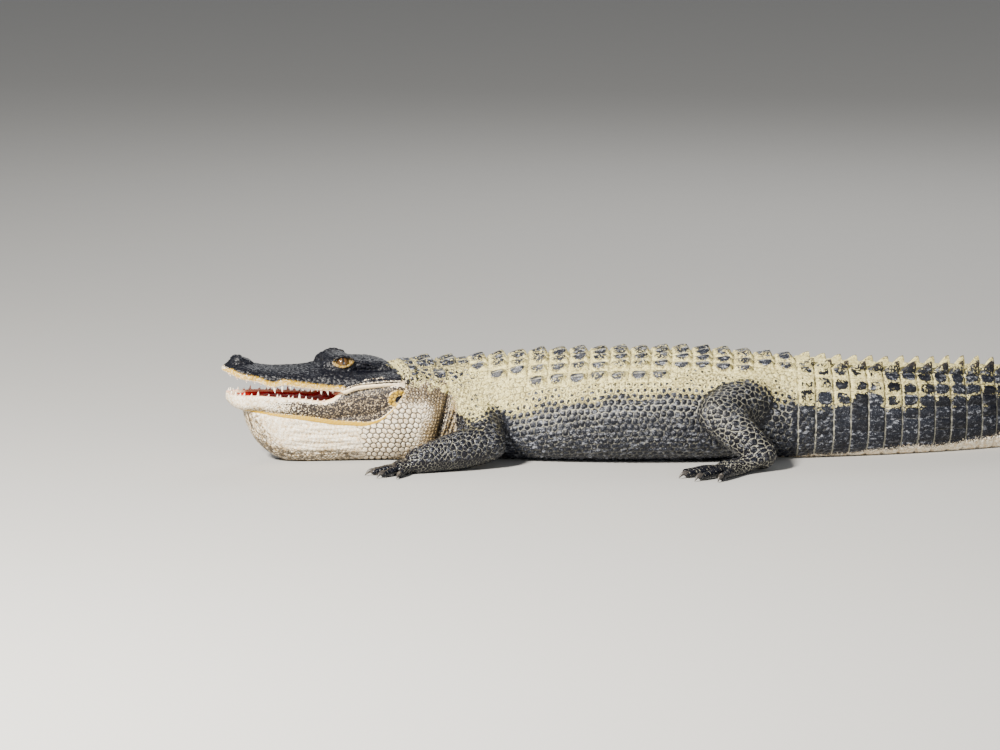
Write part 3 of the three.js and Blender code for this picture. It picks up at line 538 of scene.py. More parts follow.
@dataclass
class Shell:
    """A mesh as plain arrays: points in millimetres, and faces of three or four corners."""

    points: np.ndarray
    faces: list[tuple[int, ...]]

    @staticmethod
    def loft(rings: np.ndarray) -> "Shell":
        """A tube through rings of points, closed at both ends, with its faces turned out.

        Args:
            rings: An array of rings by points by three.

        Returns:
            The shell.
        """
        count, sides = rings.shape[:2]
        points = rings.reshape(-1, 3)
        r, i = np.meshgrid(np.arange(count - 1), np.arange(sides), indexing="ij")
        a = (r * sides + i).ravel()
        b = (r * sides + (i + 1) % sides).ravel()
        faces = [tuple(face) for face in np.stack([a, b, b + sides, a + sides], axis=1).tolist()]
        hubs = np.stack([rings[0].mean(axis=0), rings[-1].mean(axis=0)])
        near, far = len(points), len(points) + 1
        points = np.vstack([points, hubs])
        last = (count - 1) * sides
        for k in range(sides):
            after = (k + 1) % sides
            faces.append((after, k, near))
            faces.append((last + k, last + after, far))
        return Shell(points, faces).facing_out()

    @staticmethod
    def hoop(rings: np.ndarray) -> "Shell":
        """A tube through rings of points whose last ring joins the first."""
        count, sides = rings.shape[:2]
        faces = [
            (r * sides + i, r * sides + (i + 1) % sides, ((r + 1) % count) * sides + (i + 1) % sides,
             ((r + 1) % count) * sides + i)
            for r in range(count) for i in range(sides)
        ]
        return Shell(rings.reshape(-1, 3), faces).facing_out()

    def volume(self) -> float:
        """Six times the volume inside, negative where the faces point in."""
        fan = [(face[0], face[k], face[k + 1]) for face in self.faces for k in range(1, len(face) - 1)]
        corners = self.points[np.array(fan)]
        return float(np.einsum("ij,ij->i", corners[:, 0], np.cross(corners[:, 1], corners[:, 2])).sum())

    def turned(self) -> "Shell":
        """The same shell with its faces the other way round."""
        return Shell(self.points, [tuple(reversed(face)) for face in self.faces])

    def facing_out(self) -> "Shell":
        """The same shell with its faces turned out."""
        return self if self.volume() >= 0 else self.turned()

    def moved(self, change: Callable[[np.ndarray], np.ndarray]) -> "Shell":
        """The same faces with every point moved by a function."""
        return Shell(change(self.points), self.faces)

    @staticmethod
    def joined(shells: Sequence["Shell"]) -> "Shell":
        """Several shells in one, without welding."""
        points, faces, start = [], [], 0
        for shell in shells:
            points.append(shell.points)
            faces += [tuple(corner + start for corner in face) for face in shell.faces]
            start += len(shell.points)
        return Shell(np.vstack(points), faces)

    def to_object(self, name: str) -> bpy.types.Object:
        """Makes a Blender object of the shell."""
        mesh = bpy.data.meshes.new(name)
        mesh.from_pydata((self.points * MM).tolist(), [], self.faces)
        mesh.update()
        return linked(name, mesh)

    @staticmethod
    def ellipsoid(middle: Sequence[float], sizes: Sequence[float], turn: np.ndarray | None = None,
                  rows: int = 20, sides: int = 32) -> "Shell":
        """An ellipsoid of the given half sizes.

        Args:
            middle: Its middle.
            sizes: Its half sizes.
            turn: A rotation applied to it, if any.
            rows: Rings from end to end.
            sides: Points in a ring.

        Returns:
            The shell.
        """
        pole = 0.04
        polar, angle = np.meshgrid(
            np.linspace(pole, np.pi - pole, rows), np.linspace(0, 2 * np.pi, sides, endpoint=False), indexing="ij"
        )
        unit = np.stack([np.cos(polar), np.sin(polar) * np.cos(angle), np.sin(polar) * np.sin(angle)], axis=-1)
        points = unit * np.asarray(sizes, float)
        if turn is not None:
            points = points @ turn.T
        return Shell.loft(points + np.asarray(middle, float))

    @staticmethod
    def tube(places: Sequence[Sequence[float]], radii: Sequence[float], sides: int = 24, flatten: float = 1.0,
             per_span: int = 6) -> "Shell":
        """A tapering tube through places, rounded at both ends.

        Args:
            places: Points that its middle line passes through.
            radii: Its radius at each.
            sides: Points in a ring.
            flatten: Its height as a share of its width.
            per_span: Rings from one place to the next.

        Returns:
            The shell.
        """
        at = np.arange(len(places), dtype=float)
        t = np.linspace(0, at[-1], per_span * (len(places) - 1) + 1)
        middle = np.stack([catmull(np.array(places, float)[:, k], t) for k in range(3)], axis=1)
        radius = Track(list(zip(at, radii)))(t)
        along = np.gradient(middle, axis=0)
        along /= np.linalg.norm(along, axis=1, keepdims=True)
        across = np.cross([0.0, 0.0, 1.0], along)
        across /= np.linalg.norm(across, axis=1, keepdims=True) + 1e-9
        out = np.cross(along, across)

        def grown(end: int, turns: np.ndarray) -> tuple[np.ndarray, ...]:
            """Rings that round off the first end (0) or the last (-1)."""
            count = len(turns)
            reach = radius[end] * flatten * np.sin(turns)[:, None] * (-1 if end == 0 else 1)
            index = [end] * count
            return middle[index] + along[index] * reach, across[index], out[index], radius[end] * np.cos(turns)

        turns = np.radians([80, 60, 40, 20])
        first, final = grown(0, turns), grown(-1, turns[::-1])
        middle = np.vstack([first[0], middle, final[0]])
        across = np.vstack([first[1], across, final[1]])
        out = np.vstack([first[2], out, final[2]])
        radius = np.concatenate([first[3], radius, final[3]])
        angle = np.linspace(0, 2 * np.pi, sides, endpoint=False)
        rings = (
            middle[:, None, :]
            + (radius[:, None] * np.cos(angle))[..., None] * across[:, None, :]
            + (flatten * radius[:, None] * np.sin(angle))[..., None] * out[:, None, :]
        )
        return Shell.loft(rings)


def catmull(values: np.ndarray, t: np.ndarray) -> np.ndarray:
    """Catmull-Rom curve through evenly numbered values."""
    padded = np.concatenate([[2 * values[0] - values[1]], values, [2 * values[-1] - values[-2]]])
    i = np.clip(np.floor(t).astype(int), 0, len(values) - 2)
    f = t - i
    a, b, c, d = padded[i], padded[i + 1], padded[i + 2], padded[i + 3]
    return 0.5 * (2 * b + (c - a) * f + (2 * a - 5 * b + 4 * c - d) * f**2 + (3 * b - a - 3 * c + d) * f**3)


def mesh_points(mesh: bpy.types.Mesh) -> np.ndarray:
    """Points of a mesh in metres."""
    points = np.empty(len(mesh.vertices) * 3, np.float32)
    mesh.vertices.foreach_get("co", points)
    return points.reshape(-1, 3).astype(float)


def mesh_loops(mesh: bpy.types.Mesh) -> tuple[np.ndarray, np.ndarray, np.ndarray]:
    """First corner and number of corners of each face, and the point at each corner."""
    start = np.empty(len(mesh.polygons), np.int32)
    total = np.empty(len(mesh.polygons), np.int32)
    mesh.polygons.foreach_get("loop_start", start)
    mesh.polygons.foreach_get("loop_total", total)
    loops = np.empty(len(mesh.loops), np.int32)
    mesh.loops.foreach_get("vertex_index", loops)
    return start, total, loops


def mesh_edges(mesh: bpy.types.Mesh) -> np.ndarray:
    """Pairs of points that edges of a mesh join."""
    edges = np.empty(len(mesh.edges) * 2, np.int32)
    mesh.edges.foreach_get("vertices", edges)
    return edges.reshape(-1, 2)


def discard(made: bpy.types.Object) -> None:
    """Removes an object and its mesh."""
    mesh = made.data
    bpy.data.objects.remove(made)
    bpy.data.meshes.remove(mesh)


def remeshed(shell: Shell, voxel: float, name: str) -> bpy.types.Object:
    """The union of a shell's closed parts as one even mesh.

    Args:
        shell: Closed parts that may overlap.
        voxel: Size of the mesh's faces, in millimetres.
        name: Name of the object.

    Returns:
        The new object.
    """
    made = shell.to_object(name)
    modifier = made.modifiers.new("union", "REMESH")
    modifier.mode = "VOXEL"
    modifier.voxel_size = voxel * MM
    return applied(made)


def applied(made: bpy.types.Object) -> bpy.types.Object:
    """Replaces an object's mesh by the result of its modifiers."""
    graph = bpy.context.evaluated_depsgraph_get()
    mesh = bpy.data.meshes.new_from_object(made.evaluated_get(graph))
    made.modifiers.clear()
    old = made.data
    made.data = mesh
    bpy.data.meshes.remove(old)
    return made


def carve(made: bpy.types.Object, cutter: Shell) -> None:
    """Cuts a closed shell out of an object."""
    tool = cutter.to_object("cutter")
    modifier = made.modifiers.new("cut", "BOOLEAN")
    modifier.operation = "DIFFERENCE"
    modifier.solver = "MANIFOLD"
    modifier.object = tool
    applied(made)
    discard(tool)


def shell_of(made: bpy.types.Object) -> Shell:
    """Takes an object's mesh as a shell in millimetres and removes the object."""
    points = mesh_points(made.data) / MM
    faces = [tuple(face.vertices) for face in made.data.polygons]
    discard(made)
    return Shell(points, faces)


def smoothed(points: np.ndarray, edges: np.ndarray, steps: Sequence[float],
             weight: np.ndarray | None = None) -> np.ndarray:
    """Points moved towards the mean of their neighbours.

    Args:
        points: Rows of coordinates.
        edges: Pairs of neighbours.
        steps: Share of the way for each pass; a negative share moves them back out.
        weight: How much each point takes part, if not all alike.

    Returns:
        The moved points.
    """
    a = np.concatenate([edges[:, 0], edges[:, 1]])
    b = np.concatenate([edges[:, 1], edges[:, 0]])
    count = np.bincount(a, minlength=len(points)).astype(float)
    count[count == 0] = 1
    moved = points.copy()
    share = np.ones(len(points)) if weight is None else weight
    for step in steps:
        for k in range(points.shape[1]):
            mean = np.bincount(a, weights=moved[b, k], minlength=len(points)) / count
            moved[:, k] += step * share * (mean - moved[:, k])
    return moved


def point_normals(points: np.ndarray, corners: np.ndarray) -> np.ndarray:
    """Unit normals at the points of a mesh of quads and padded triangles."""
    p = points[corners]
    face = np.cross(p[:, 2] - p[:, 0], p[:, 3] - p[:, 1])
    flat = np.einsum("ij,ij->i", face, face) == 0
    face[flat] = np.cross(p[flat, 1] - p[flat, 0], p[flat, 2] - p[flat, 0])
    normals = np.zeros_like(points)
    for axis in range(3):
        normals[:, axis] = sum(
            np.bincount(corners[:, k], weights=face[:, axis], minlength=len(points)) for k in range(4)
        )
    return normals / (np.linalg.norm(normals, axis=1, keepdims=True) + 1e-12)


# The hide: one skin over the whole animal


@dataclass
class Skin:
    """Everything that is known about each point of the hide while it is being shaped.

    Attributes:
        flat: Rows of s, v and z.
        world: Rows of world coordinates.
        normals: Unit normals before the relief.
        corners: Points of each face.
        arc: Arc from the midline of the back.
        under: Arc from the midline of the belly.
        leg: How far the point belongs to a leg.
        along_leg: Distance along the leg, and LEG_STEP times the leg's number.
        toe: How far the point belongs to the toes.
        height: How far the relief raises it.
        marks: Amounts of the colour marks, by name.
    """

    flat: np.ndarray
    world: np.ndarray
    normals: np.ndarray
    corners: np.ndarray
    arc: np.ndarray
    under: np.ndarray
    leg: np.ndarray
    along_leg: np.ndarray
    toe: np.ndarray
    height: np.ndarray
    marks: dict[str, np.ndarray]

    @property
    def s(self) -> np.ndarray:
        """Distance along the spine."""
        return self.flat[:, 0]

    @property
    def v(self) -> np.ndarray:
        """Distance to the left of the spine."""
        return self.flat[:, 1]

    @property
    def z(self) -> np.ndarray:
        """Height above the floor."""
        return self.flat[:, 2]

    @property
    def u(self) -> np.ndarray:
        """Distance behind the tip of the snout."""
        return self.flat[:, 0] - SNOUT_TIP

    def mark(self, name: str, amount: np.ndarray) -> None:
        """Keeps the larger of a mark's amount and a new one."""
        old = self.marks.get(name)
        self.marks[name] = amount if old is None else np.maximum(old, amount)


@dataclass
class Warp:
    """Spreads the head out before the remesh, so that its faces come out finer than the body's."""

    head_scale: float = 1.7
    start: float = -440.0
    end: float = -240.0
    step: float = 2.0
    margin: float = 60.0

    def __post_init__(self) -> None:
        """Tabulates the stretched distance along the spine."""
        self.s = np.arange(SNOUT_TIP - self.margin, TAIL_TIP + self.margin, self.step)
        middles = self.s[:-1] + self.step / 2
        self.far = np.concatenate([[0], np.cumsum(self.step * self.scale(middles))])

    def scale(self, s: np.ndarray) -> np.ndarray:
        """How much larger than life the mesh is made at s."""
        return 1 + (self.head_scale - 1) * ease(self.end, self.start, s)

    def forward(self, flat: np.ndarray) -> np.ndarray:
        """Stretched points for rows of s, v and z."""
        g = self.scale(flat[:, 0])
        return np.stack([np.interp(flat[:, 0], self.s, self.far), g * flat[:, 1], g * flat[:, 2]], axis=1)

    def back(self, points: np.ndarray) -> np.ndarray:
        """Rows of s, v and z for stretched points."""
        s = np.interp(points[:, 0], self.far, self.s)
        g = self.scale(s)
        return np.stack([s, points[:, 1] / g, points[:, 2] / g], axis=1)


def section(u: float, half: float, top: float, widest: float, bottom: float, fullness: float,
            sides: int = 64) -> np.ndarray:
    """One ring of the head as rows of s, v and z.

    Args:
        u: Distance behind the tip of the snout.
        half: Half width.
        top: Height of its top.
        widest: Height of its widest line.
        bottom: Height of its bottom.
        fullness: Power of the superellipse.
        sides: Points in the ring.

    Returns:
        The ring.
    """
    angle = np.linspace(0, 2 * np.pi, sides, endpoint=False)
    across, along = superellipse(angle, fullness, fullness)
    reach = np.where(along > 0, top - widest, widest - bottom)
    return np.stack([np.full(sides, SNOUT_TIP + u), half * across, widest + reach * along], axis=1)


@dataclass(frozen=True)
class Lump:
    """A rounded mass or hollow of the head: its middle, half sizes and tilt in degrees."""

    u: float
    v: float
    z: float
    sizes: tuple[float, float, float]
    tilt: float = 0.0

    def shell(self, side: int = 1) -> Shell:
        """The lump on one side of the head."""
        a = math.radians(self.tilt)
        turn = np.array([[math.cos(a), 0, math.sin(a)], [0, 1, 0], [-math.sin(a), 0, math.cos(a)]])
        return Shell.ellipsoid((SNOUT_TIP + self.u, side * self.v, self.z), self.sizes, turn if self.tilt else None)


SNOUT_PAD = Lump(34, 0, 180, (27, 26, 19))
RAISED = (
    Lump(218, 34, 180, (35, 22, 21.5)), Lump(262, 36, 181, (34, 11, 10), 5), Lump(30, 12, 194, (12, 9, 9)),
)
EAR_SLIT = Lump(274, 47, 180.5, (17, 7, 1.7), 17)
NOSTRIL = Lump(29, 12, 200, (6.5, 3.6, 7))
SNOUT_STATIONS = (0, 1, 2.5, 4.5, 7, 10, 14, 19, 24, 30)
ABOVE_HEAD, BELOW_HEAD = 420.0, -400.0


@dataclass
class HeadMass:
    """Solid masses of the head, lower jaw and throat, before the hide is drawn over them."""

    form: HeadForm
    eye: Eye
    voxel: float = 1.5
    socket: float = 14.5
    end: float = HEAD_LENGTH + 14

    def eye_place(self, side: int, outward: float) -> np.ndarray:
        """A point out from the middle of an eye along the way it looks, as s, v and z."""
        tilt = math.radians(self.eye.tilt)
        v = self.eye.v + outward * math.cos(tilt)
        return np.array([SNOUT_TIP + self.eye.u, side * v, self.eye.z + outward * math.sin(tilt)])

    def eye_turn(self, side: int) -> np.ndarray:
        """Turn whose second axis points out of the eye."""
        tilt = side * math.radians(self.eye.tilt)
        return np.array([[1, 0, 0], [0, math.cos(tilt), -math.sin(tilt)], [0, math.sin(tilt), math.cos(tilt)]])

    def muzzle(self) -> Shell:
        """Upper jaw and cheeks, down past the line of the mouth."""
        form = self.form
        rings = []
        for u in np.concatenate([SNOUT_STATIONS, spread(36, self.end, 7)]):
            nose = float(form.nose(u, SNOUT_RADIUS))
            lip = float(form.upper_lip(u))
            top = lip + (float(form.top(u)) - lip) * (1 - 0.55 * (1 - nose))
            rings.append(section(u, float(form.half(u)) * nose, top, lip + 3, lip - 22, float(form.fullness(u))))
        return Shell.loft(np.array(rings))

    def roof(self) -> Shell:
        """The flat roof of the skull between and behind the eyes."""
        rings = []
        low = 150
        for u in spread(192, 330, 6):
            t = (u - 196) / 120
            end = min(ease(191, 202, np.array(u)), ease(332, 312, np.array(u)))
            top = float(SKULL_TOP(u))
            half = (30 + 15 * t) * (0.82 + 0.18 * end)
            rings.append(section(u, half, top - 6 * (1 - end), (top + low) / 2, low, 3.9))
        return Shell.loft(np.array(rings))

    @staticmethod
    def almond(wide: float, high: float, low: float, count: int = 60) -> np.ndarray:
        """Outline of the opening between the lids, pointed at both corners.

        Args:
            wide: Half its width.
            high: Its reach above the middle.
            low: Its reach below it.
            count: Points round it.

        Returns:
            Rows of the distances back and up from the middle.
        """
        around = np.linspace(0, 2 * np.pi, count, endpoint=False)
        back = np.cos(around)
        bow = 1 - np.abs(back) ** 1.9
        skew = 1.0 + 1.6 * back
        up = np.where(np.sin(around) > 0, high, -low) * bow + skew * (1 - bow) - 1.0 * bow
        return np.stack([wide * back, up], axis=1)

    def opening(self, side: int) -> Shell:
        """What is cut away between the lids of one eye."""
        rings = []
        for outward, grown in ((8.5, 0.94), (10.5, 0.98), (13, 1.04), (20, 1.25), (34, 1.5)):
            ring = self.almond(19.5 * grown, 8.6 * grown, 7.6 * grown)
            rings.append(np.stack([ring[:, 0], np.full(len(ring), side * outward), ring[:, 1]], axis=1))
        return Shell.loft(np.array(rings) @ self.eye_turn(side).T + self.eye_place(side, 0))

    def lid_ring(self, side: int) -> Shell:
        """Raised rim round the opening of an eye, thick above."""
        wide = 21.0
        line = self.almond(wide, 10.4, 9.0)
        tube = np.linspace(0, 2 * np.pi, 14, endpoint=False)
        ahead = np.roll(line, -1, axis=0) - np.roll(line, 1, axis=0)
        outward = np.stack([ahead[:, 1], -ahead[:, 0]], axis=1)
        outward /= np.linalg.norm(outward, axis=1, keepdims=True)
        rings = []
        for (back, up), out in zip(line, outward):
            thick = 2.2 + 1.3 * float(ease(-2, 6, np.array(up)))
            stand = 8.2 + 3.6 * (1 - (abs(back) / wide) ** 2)
            rings.append(np.stack([
                back + out[0] * thick * np.cos(tube), side * (stand + thick * np.sin(tube)),
                up + out[1] * thick * np.cos(tube)], axis=1))
        return Shell.hoop(np.array(rings) @ self.eye_turn(side).T + self.eye_place(side, 0))

    def upper(self) -> Shell:
        """The head above the line of the mouth, with its openings."""
        form = self.form
        parts = [self.muzzle(), self.roof(), SNOUT_PAD.shell()]
        for side in SIDES:
            brow, ear_ridge, nostril_rim = (lump.shell(side) for lump in RAISED)
            parts += [brow, self.lid_ring(side), ear_ridge, nostril_rim]
        made = remeshed(Shell.joined(parts), self.voxel, "upper_mass")
        for side in SIDES:
            carve(made, Shell.ellipsoid(self.eye_place(side, 0), (self.socket,) * 3))
            carve(made, self.opening(side))
            carve(made, EAR_SLIT.shell(side))
            carve(made, NOSTRIL.shell(side))
        stations = spread(-20, HEAD_LENGTH + 24, 6)
        cheek = 9.0 * ease(form.corner - 4, form.corner + 10, stations)
        carve(made, band(stations, BELOW_HEAD, form.upper_lip(stations) - cheek))
        rings = []
        for u in spread(17, 208, 5):
            nose = float(form.nose(u - 17, SNOUT_RADIUS))
            fade = float(ease(210, 176, np.array(u)))
            lip = float(form.upper_lip(u))
            rings.append(section(u, (float(form.half(u)) - form.rim) * nose, lip + 13 * nose * (0.3 + 0.7 * fade),
                                 lip - 3, lip - 22, 2.4))
        carve(made, Shell.loft(np.array(rings)))
        return shell_of(made)

    def lower(self) -> Shell:
        """The lower jaw and the throat below it, with the floor of the mouth."""
        form = self.form
        bone = []
        for u in np.concatenate([form.jaw_start + np.array(SNOUT_STATIONS), spread(43, 334, 7)]):
            lip, bottom = float(form.lower_lip(u)), float(form.jaw_bottom(u))
            bone.append(section(u, float(form.lower_half(u)), lip + 14, lip + 0.4 * (bottom - lip), bottom, 2.8))
        pouch = []
        for u in np.concatenate([[40, 42, 44, 47, 51], spread(56, self.end, 7)]):
            pouch.append(section(u, float(form.throat_half(u)), float(form.throat_top(u)),
                                 float(form.throat_widest(u)), float(form.throat_bottom(u)), 2.4))
        parts = [Shell.loft(np.array(bone)), Shell.loft(np.array(pouch))]
        made = remeshed(Shell.joined(parts), self.voxel, "lower_mass")
        stations = spread(-20, HEAD_LENGTH + 24, 6)
        carve(made, band(stations, form.lower_lip(stations), ABOVE_HEAD))
        rings = []
        for u in spread(24, 208, 5):
            nose = float(form.nose(u - 24, SNOUT_RADIUS))
            lip = float(form.lower_lip(u))
            half = (float(form.jaw_half(u)) - form.rim) * nose
            rings.append(section(u, half, lip + 22, lip + 3, lip - 15 * nose, 2.6))
        carve(made, Shell.loft(np.array(rings)))
        return shell_of(made)


def band(stations: np.ndarray, low: np.ndarray | float, high: np.ndarray | float, wide: float = 170.0) -> Shell:
    """A wedge across the head between two heights at stations behind the tip of the snout."""
    rings = np.empty((len(stations), 4, 3))
    for corner, (v, z) in enumerate(((-wide, low), (wide, low), (wide, high), (-wide, high))):
        rings[:, corner, 0] = SNOUT_TIP + stations
        rings[:, corner, 1] = v
        rings[:, corner, 2] = z
    return Shell.loft(rings)


@dataclass
class LegMass:
    """Solid masses of one leg and its foot, in world millimetres."""

    leg: Leg

    def middle_line(self) -> tuple[np.ndarray, np.ndarray]:
        """Points along the leg's middle and its radii there."""
        leg = self.leg
        root, joint, wrist = (np.array(place, float) for place in (leg.root, leg.joint, leg.wrist))
        palm = np.array([*leg.out(leg.foot.palm_length), 9.0])
        places = [root, (root + joint) / 2, joint, joint + 0.35 * (wrist - joint), wrist, palm]
        radii = [leg.radii[0], (leg.radii[0] + leg.radii[1]) / 2, leg.radii[1], leg.bulge, leg.radii[2],
                 leg.foot.palm_width / 2]
        return np.array(places), np.array(radii, float)

    def toe_tube(self, toe: Toe) -> Shell:
        """One toe, a little thicker at its joints."""
        r = toe.radius
        stops = [(-8 / toe.length, r + 4, 1.05), (0, r + 4, 1.12), (0.27, r + 3.6, 0.98), (0.5, r + 3.2, 1.05),
                 (0.75, r + 1, 0.86), (1, r - 1, 0.74)]
        places = [self.leg.toe_point(toe, share * toe.length, z) for share, z, _ in stops]
        return Shell.tube(places, [r * stop[2] for stop in stops], 20, 0.95, 4)

    def shells(self) -> list[Shell]:
        """All the closed masses of the leg."""
        leg, foot = self.leg, self.leg.foot
        root, joint, wrist = (np.array(place, float) for place in (leg.root, leg.joint, leg.wrist))
        upper = Shell.tube([root, (root + joint) / 2, joint],
                           [leg.radii[0], (leg.radii[0] + leg.radii[1]) / 2, leg.radii[1]], 40)
        lower = Shell.tube([joint, joint + 0.35 * (wrist - joint), wrist],
                           [leg.radii[1], leg.bulge, leg.radii[2]], 40)
        palm = Shell.tube([wrist, (*leg.out(0.5 * foot.palm_length), 15), (*leg.out(foot.palm_length), 9)],
                          [foot.wrist_radius, foot.palm_width * 0.42, foot.palm_width * 0.5], 32, 0.62)
        toes = [self.toe_tube(toe) for toe in foot.toes]
        return [upper, lower, palm, *toes, *(self.web(*pair) for pair in zip(foot.toes, foot.toes[1:]))]

    def web(self, here: Toe, after: Toe) -> Shell:
        """Thin skin between two toes, hollowed along its free edge."""
        leg, foot = self.leg, self.leg.foot
        rows = []
        for share in np.linspace(0, 1, 9):
            reach = foot.palm_length * 0.95 + foot.web * (here.length + share * (after.length - here.length))
            hollow = 1 - 0.28 * math.sin(math.pi * share)
            fan = 0.55 + 0.45 * foot.web
            turn = (here.turn + share * (after.turn - here.turn)) * fan
            inner = leg.out(foot.palm_length * 0.7, turn)
            outer = leg.out(foot.palm_length * 0.7 + (reach - foot.palm_length * 0.7) * hollow, turn)
            rows.append([(*inner, 3.0), (*outer, 3.5), (*outer, 6.5), (*inner, 13.0)])
        return Shell.loft(np.array(rows))


@dataclass
class SectionTable:
    """Arc lengths round the sections of the throat, neck, trunk and tail."""

    body: BodyForm
    head: HeadForm
    step: float = 8.0
    columns: int = 180

    def __post_init__(self) -> None:
        """Measures the arcs at a grid of stations and angles."""
        self.s = np.arange(SNOUT_TIP + 42, TAIL_TIP, self.step)
        u = self.s - SNOUT_TIP
        before = self.s < NECK_START
        self.half = np.where(before, self.head.throat_half(u), self.body.half(self.s))
        self.top = np.where(before, self.head.throat_top(u), self.body.top(self.s))
        self.widest = np.where(before, self.head.throat_widest(u), self.body.widest(self.s))
        self.bottom = np.where(before, self.head.throat_bottom(u), -BELLY_SINK)
        self.above = np.where(before, 2.4, self.body.above(self.s))
        self.below = np.where(before, 2.4, self.body.below(self.s))
        angle = np.linspace(0, np.pi, self.columns + 1)
        across, along = superellipse(angle[None, :], self.above[:, None], self.below[:, None])
        reach = np.where(along > 0, (self.top - self.widest)[:, None], (self.widest - self.bottom)[:, None])
        self.grid_v = self.half[:, None] * across
        self.grid_z = self.widest[:, None] + reach * along
        walked = np.hypot(np.diff(self.grid_v, axis=1), np.diff(self.grid_z, axis=1))
        self.arc = np.concatenate([np.zeros((len(self.s), 1)), np.cumsum(walked, axis=1)], axis=1)

    def measure(self, flat: np.ndarray) -> tuple[np.ndarray, np.ndarray, np.ndarray]:
        """Where points lie round the section.

        Args:
            flat: Rows of s, v and z.

        Returns:
            Arc from the midline of the back, arc from the midline of the belly, and how far out the point
            is as a share of the section.
        """
        s, v, z = flat[:, 0], np.abs(flat[:, 1]), flat[:, 2]
        half, top, widest, bottom, above, below = (
            np.interp(s, self.s, values)
            for values in (self.half, self.top, self.widest, self.bottom, self.above, self.below)
        )
        upper = z >= widest
        reach = np.where(upper, top - widest, widest - bottom)
        power = np.where(upper, above, below)
        a = (v / half) ** (power / 2)
        b = (np.abs(z - widest) / np.maximum(reach, 1)) ** (power / 2)
        angle = np.arctan2(a, np.where(upper, b, -b))
        share = (a * a + b * b) ** (1 / power)
        row = np.clip((s - self.s[0]) / self.step, 0, len(self.s) - 1.001)
        i, f = np.floor(row).astype(int), row - np.floor(row)
        column = np.clip(angle / np.pi * self.columns, 0, self.columns - 0.001)
        j, g = np.floor(column).astype(int), column - np.floor(column)
        arc = (
            (self.arc[i, j] * (1 - g) + self.arc[i, j + 1] * g) * (1 - f)
            + (self.arc[i + 1, j] * (1 - g) + self.arc[i + 1, j + 1] * g) * f
        )
        total = self.arc[i, -1] * (1 - f) + self.arc[i + 1, -1] * f
        return arc, total - arc, share

    def on_body(self, s: float, arc: float) -> tuple[float, float]:
        """v and z of the surface at s, at an arc from the midline of the back (positive to the left)."""
        row = min(max((s - self.s[0]) / self.step, 0), len(self.s) - 1.001)
        i, f = int(row), row - int(row)
        v = z = 0.0
        for k, weight in ((i, 1 - f), (i + 1, f)):
            v += weight * np.interp(abs(arc), self.arc[k], self.grid_v[k])
            z += weight * np.interp(abs(arc), self.arc[k], self.grid_z[k])
        return math.copysign(v, arc) if arc else 0.0, z


TRUNK_PITCH = 39.0
FIRST_ROW = -271.0
COLUMN_WIDTH = 33.0
COLUMNS = np.array([4, 6, 6, 8, 8, 8, 8, 8, 8, 8, 6, 6, 6, 6, 4, 4])
CREST_OFFSET = Track([(VENT, 40), (500, 37), (722, 29), (860, 16), (920, 8)])
CREST_HEIGHT = Track([(VENT, 14), (460, 18), (600, 24), (722, 28), (900, 30), (1100, 27), (1350, 20), (1560, 12)])
COAT_LINE = Track([
    (-440, 158), (-400, 152), (-360, 146), (-334, 134), (-318, 112), (-304, 96), (-275, 94), (-239, 108),
    (-200, 106), (-150, 122), (0, 136), (100, 142), (200, 140), (VENT, 126), (450, 116), (560, 112),
    (722, 104), (1000, 84), (1300, 46), (TAIL_TIP, 6),
])
SKULL_TOP = Track([(190, 201), (215, 201), (247, 194), (273, 193), (299, 188), (318, 180), (332, 172)])
JAW_LINE = Track([
    (7, 120), (20, 106), (35, 100), (60, 97), (92, 91), (146, 83), (217, 73), (255, 72), (283, 80), (305, 98),
    (322, 118), (333, 136), (340, 152),
])
JAW_BAND = Track([(20, 3.5), (80, 5), (150, 8.5), (240, 8), (285, 5), (320, 3.5), (340, 3)])
GAPE_WIDTH = Track([(207, 3.8), (230, 4.0), (262, 3.6), (300, 2.3), (345, 1.1)])
# Colour marks that the skin hands to its finish. The edge mark is the lines between scales, and also painted
# highlight lines on keel tops, crest tops and wrinkle crests, and painted shadow rims round the crowns of the back's
# scutes. The mark of each scale's tone also sets how strongly painted silvery glints show. grey and tan also carry
# painted shade in the crease behind the jowl and in the throat's fold troughs.
MARKS = ("edge", "net", "tint", "dark", "grey", "yellow", "tan", "coat", "red", "gum", "tile", "wet")
CREASE = Track([(4, -405), (33, -366), (71, -353), (109, -341), (148, -331), (185, -322)])


@dataclass(frozen=True)
class Nuchal:
    """One large plate on top of the neck: its place, its size and the height of its keel."""

    s: float
    arc: float
    length: float
    width: float
    keel: float


NUCHALS = tuple(
    Nuchal(s, side * arc, length, width, keel)
    for s, arc, length, width, keel in (
        (-376, 24, 46, 44, 15), (-330, 22, 42, 40, 14), (-352, 64, 34, 30, 9), (-407, 16, 21, 26, 9),
        (-407, 48, 21, 26, 8), (-300, 20, 26, 28, 7),
    )
    for side in SIDES
)
LEG_STEP = 1000


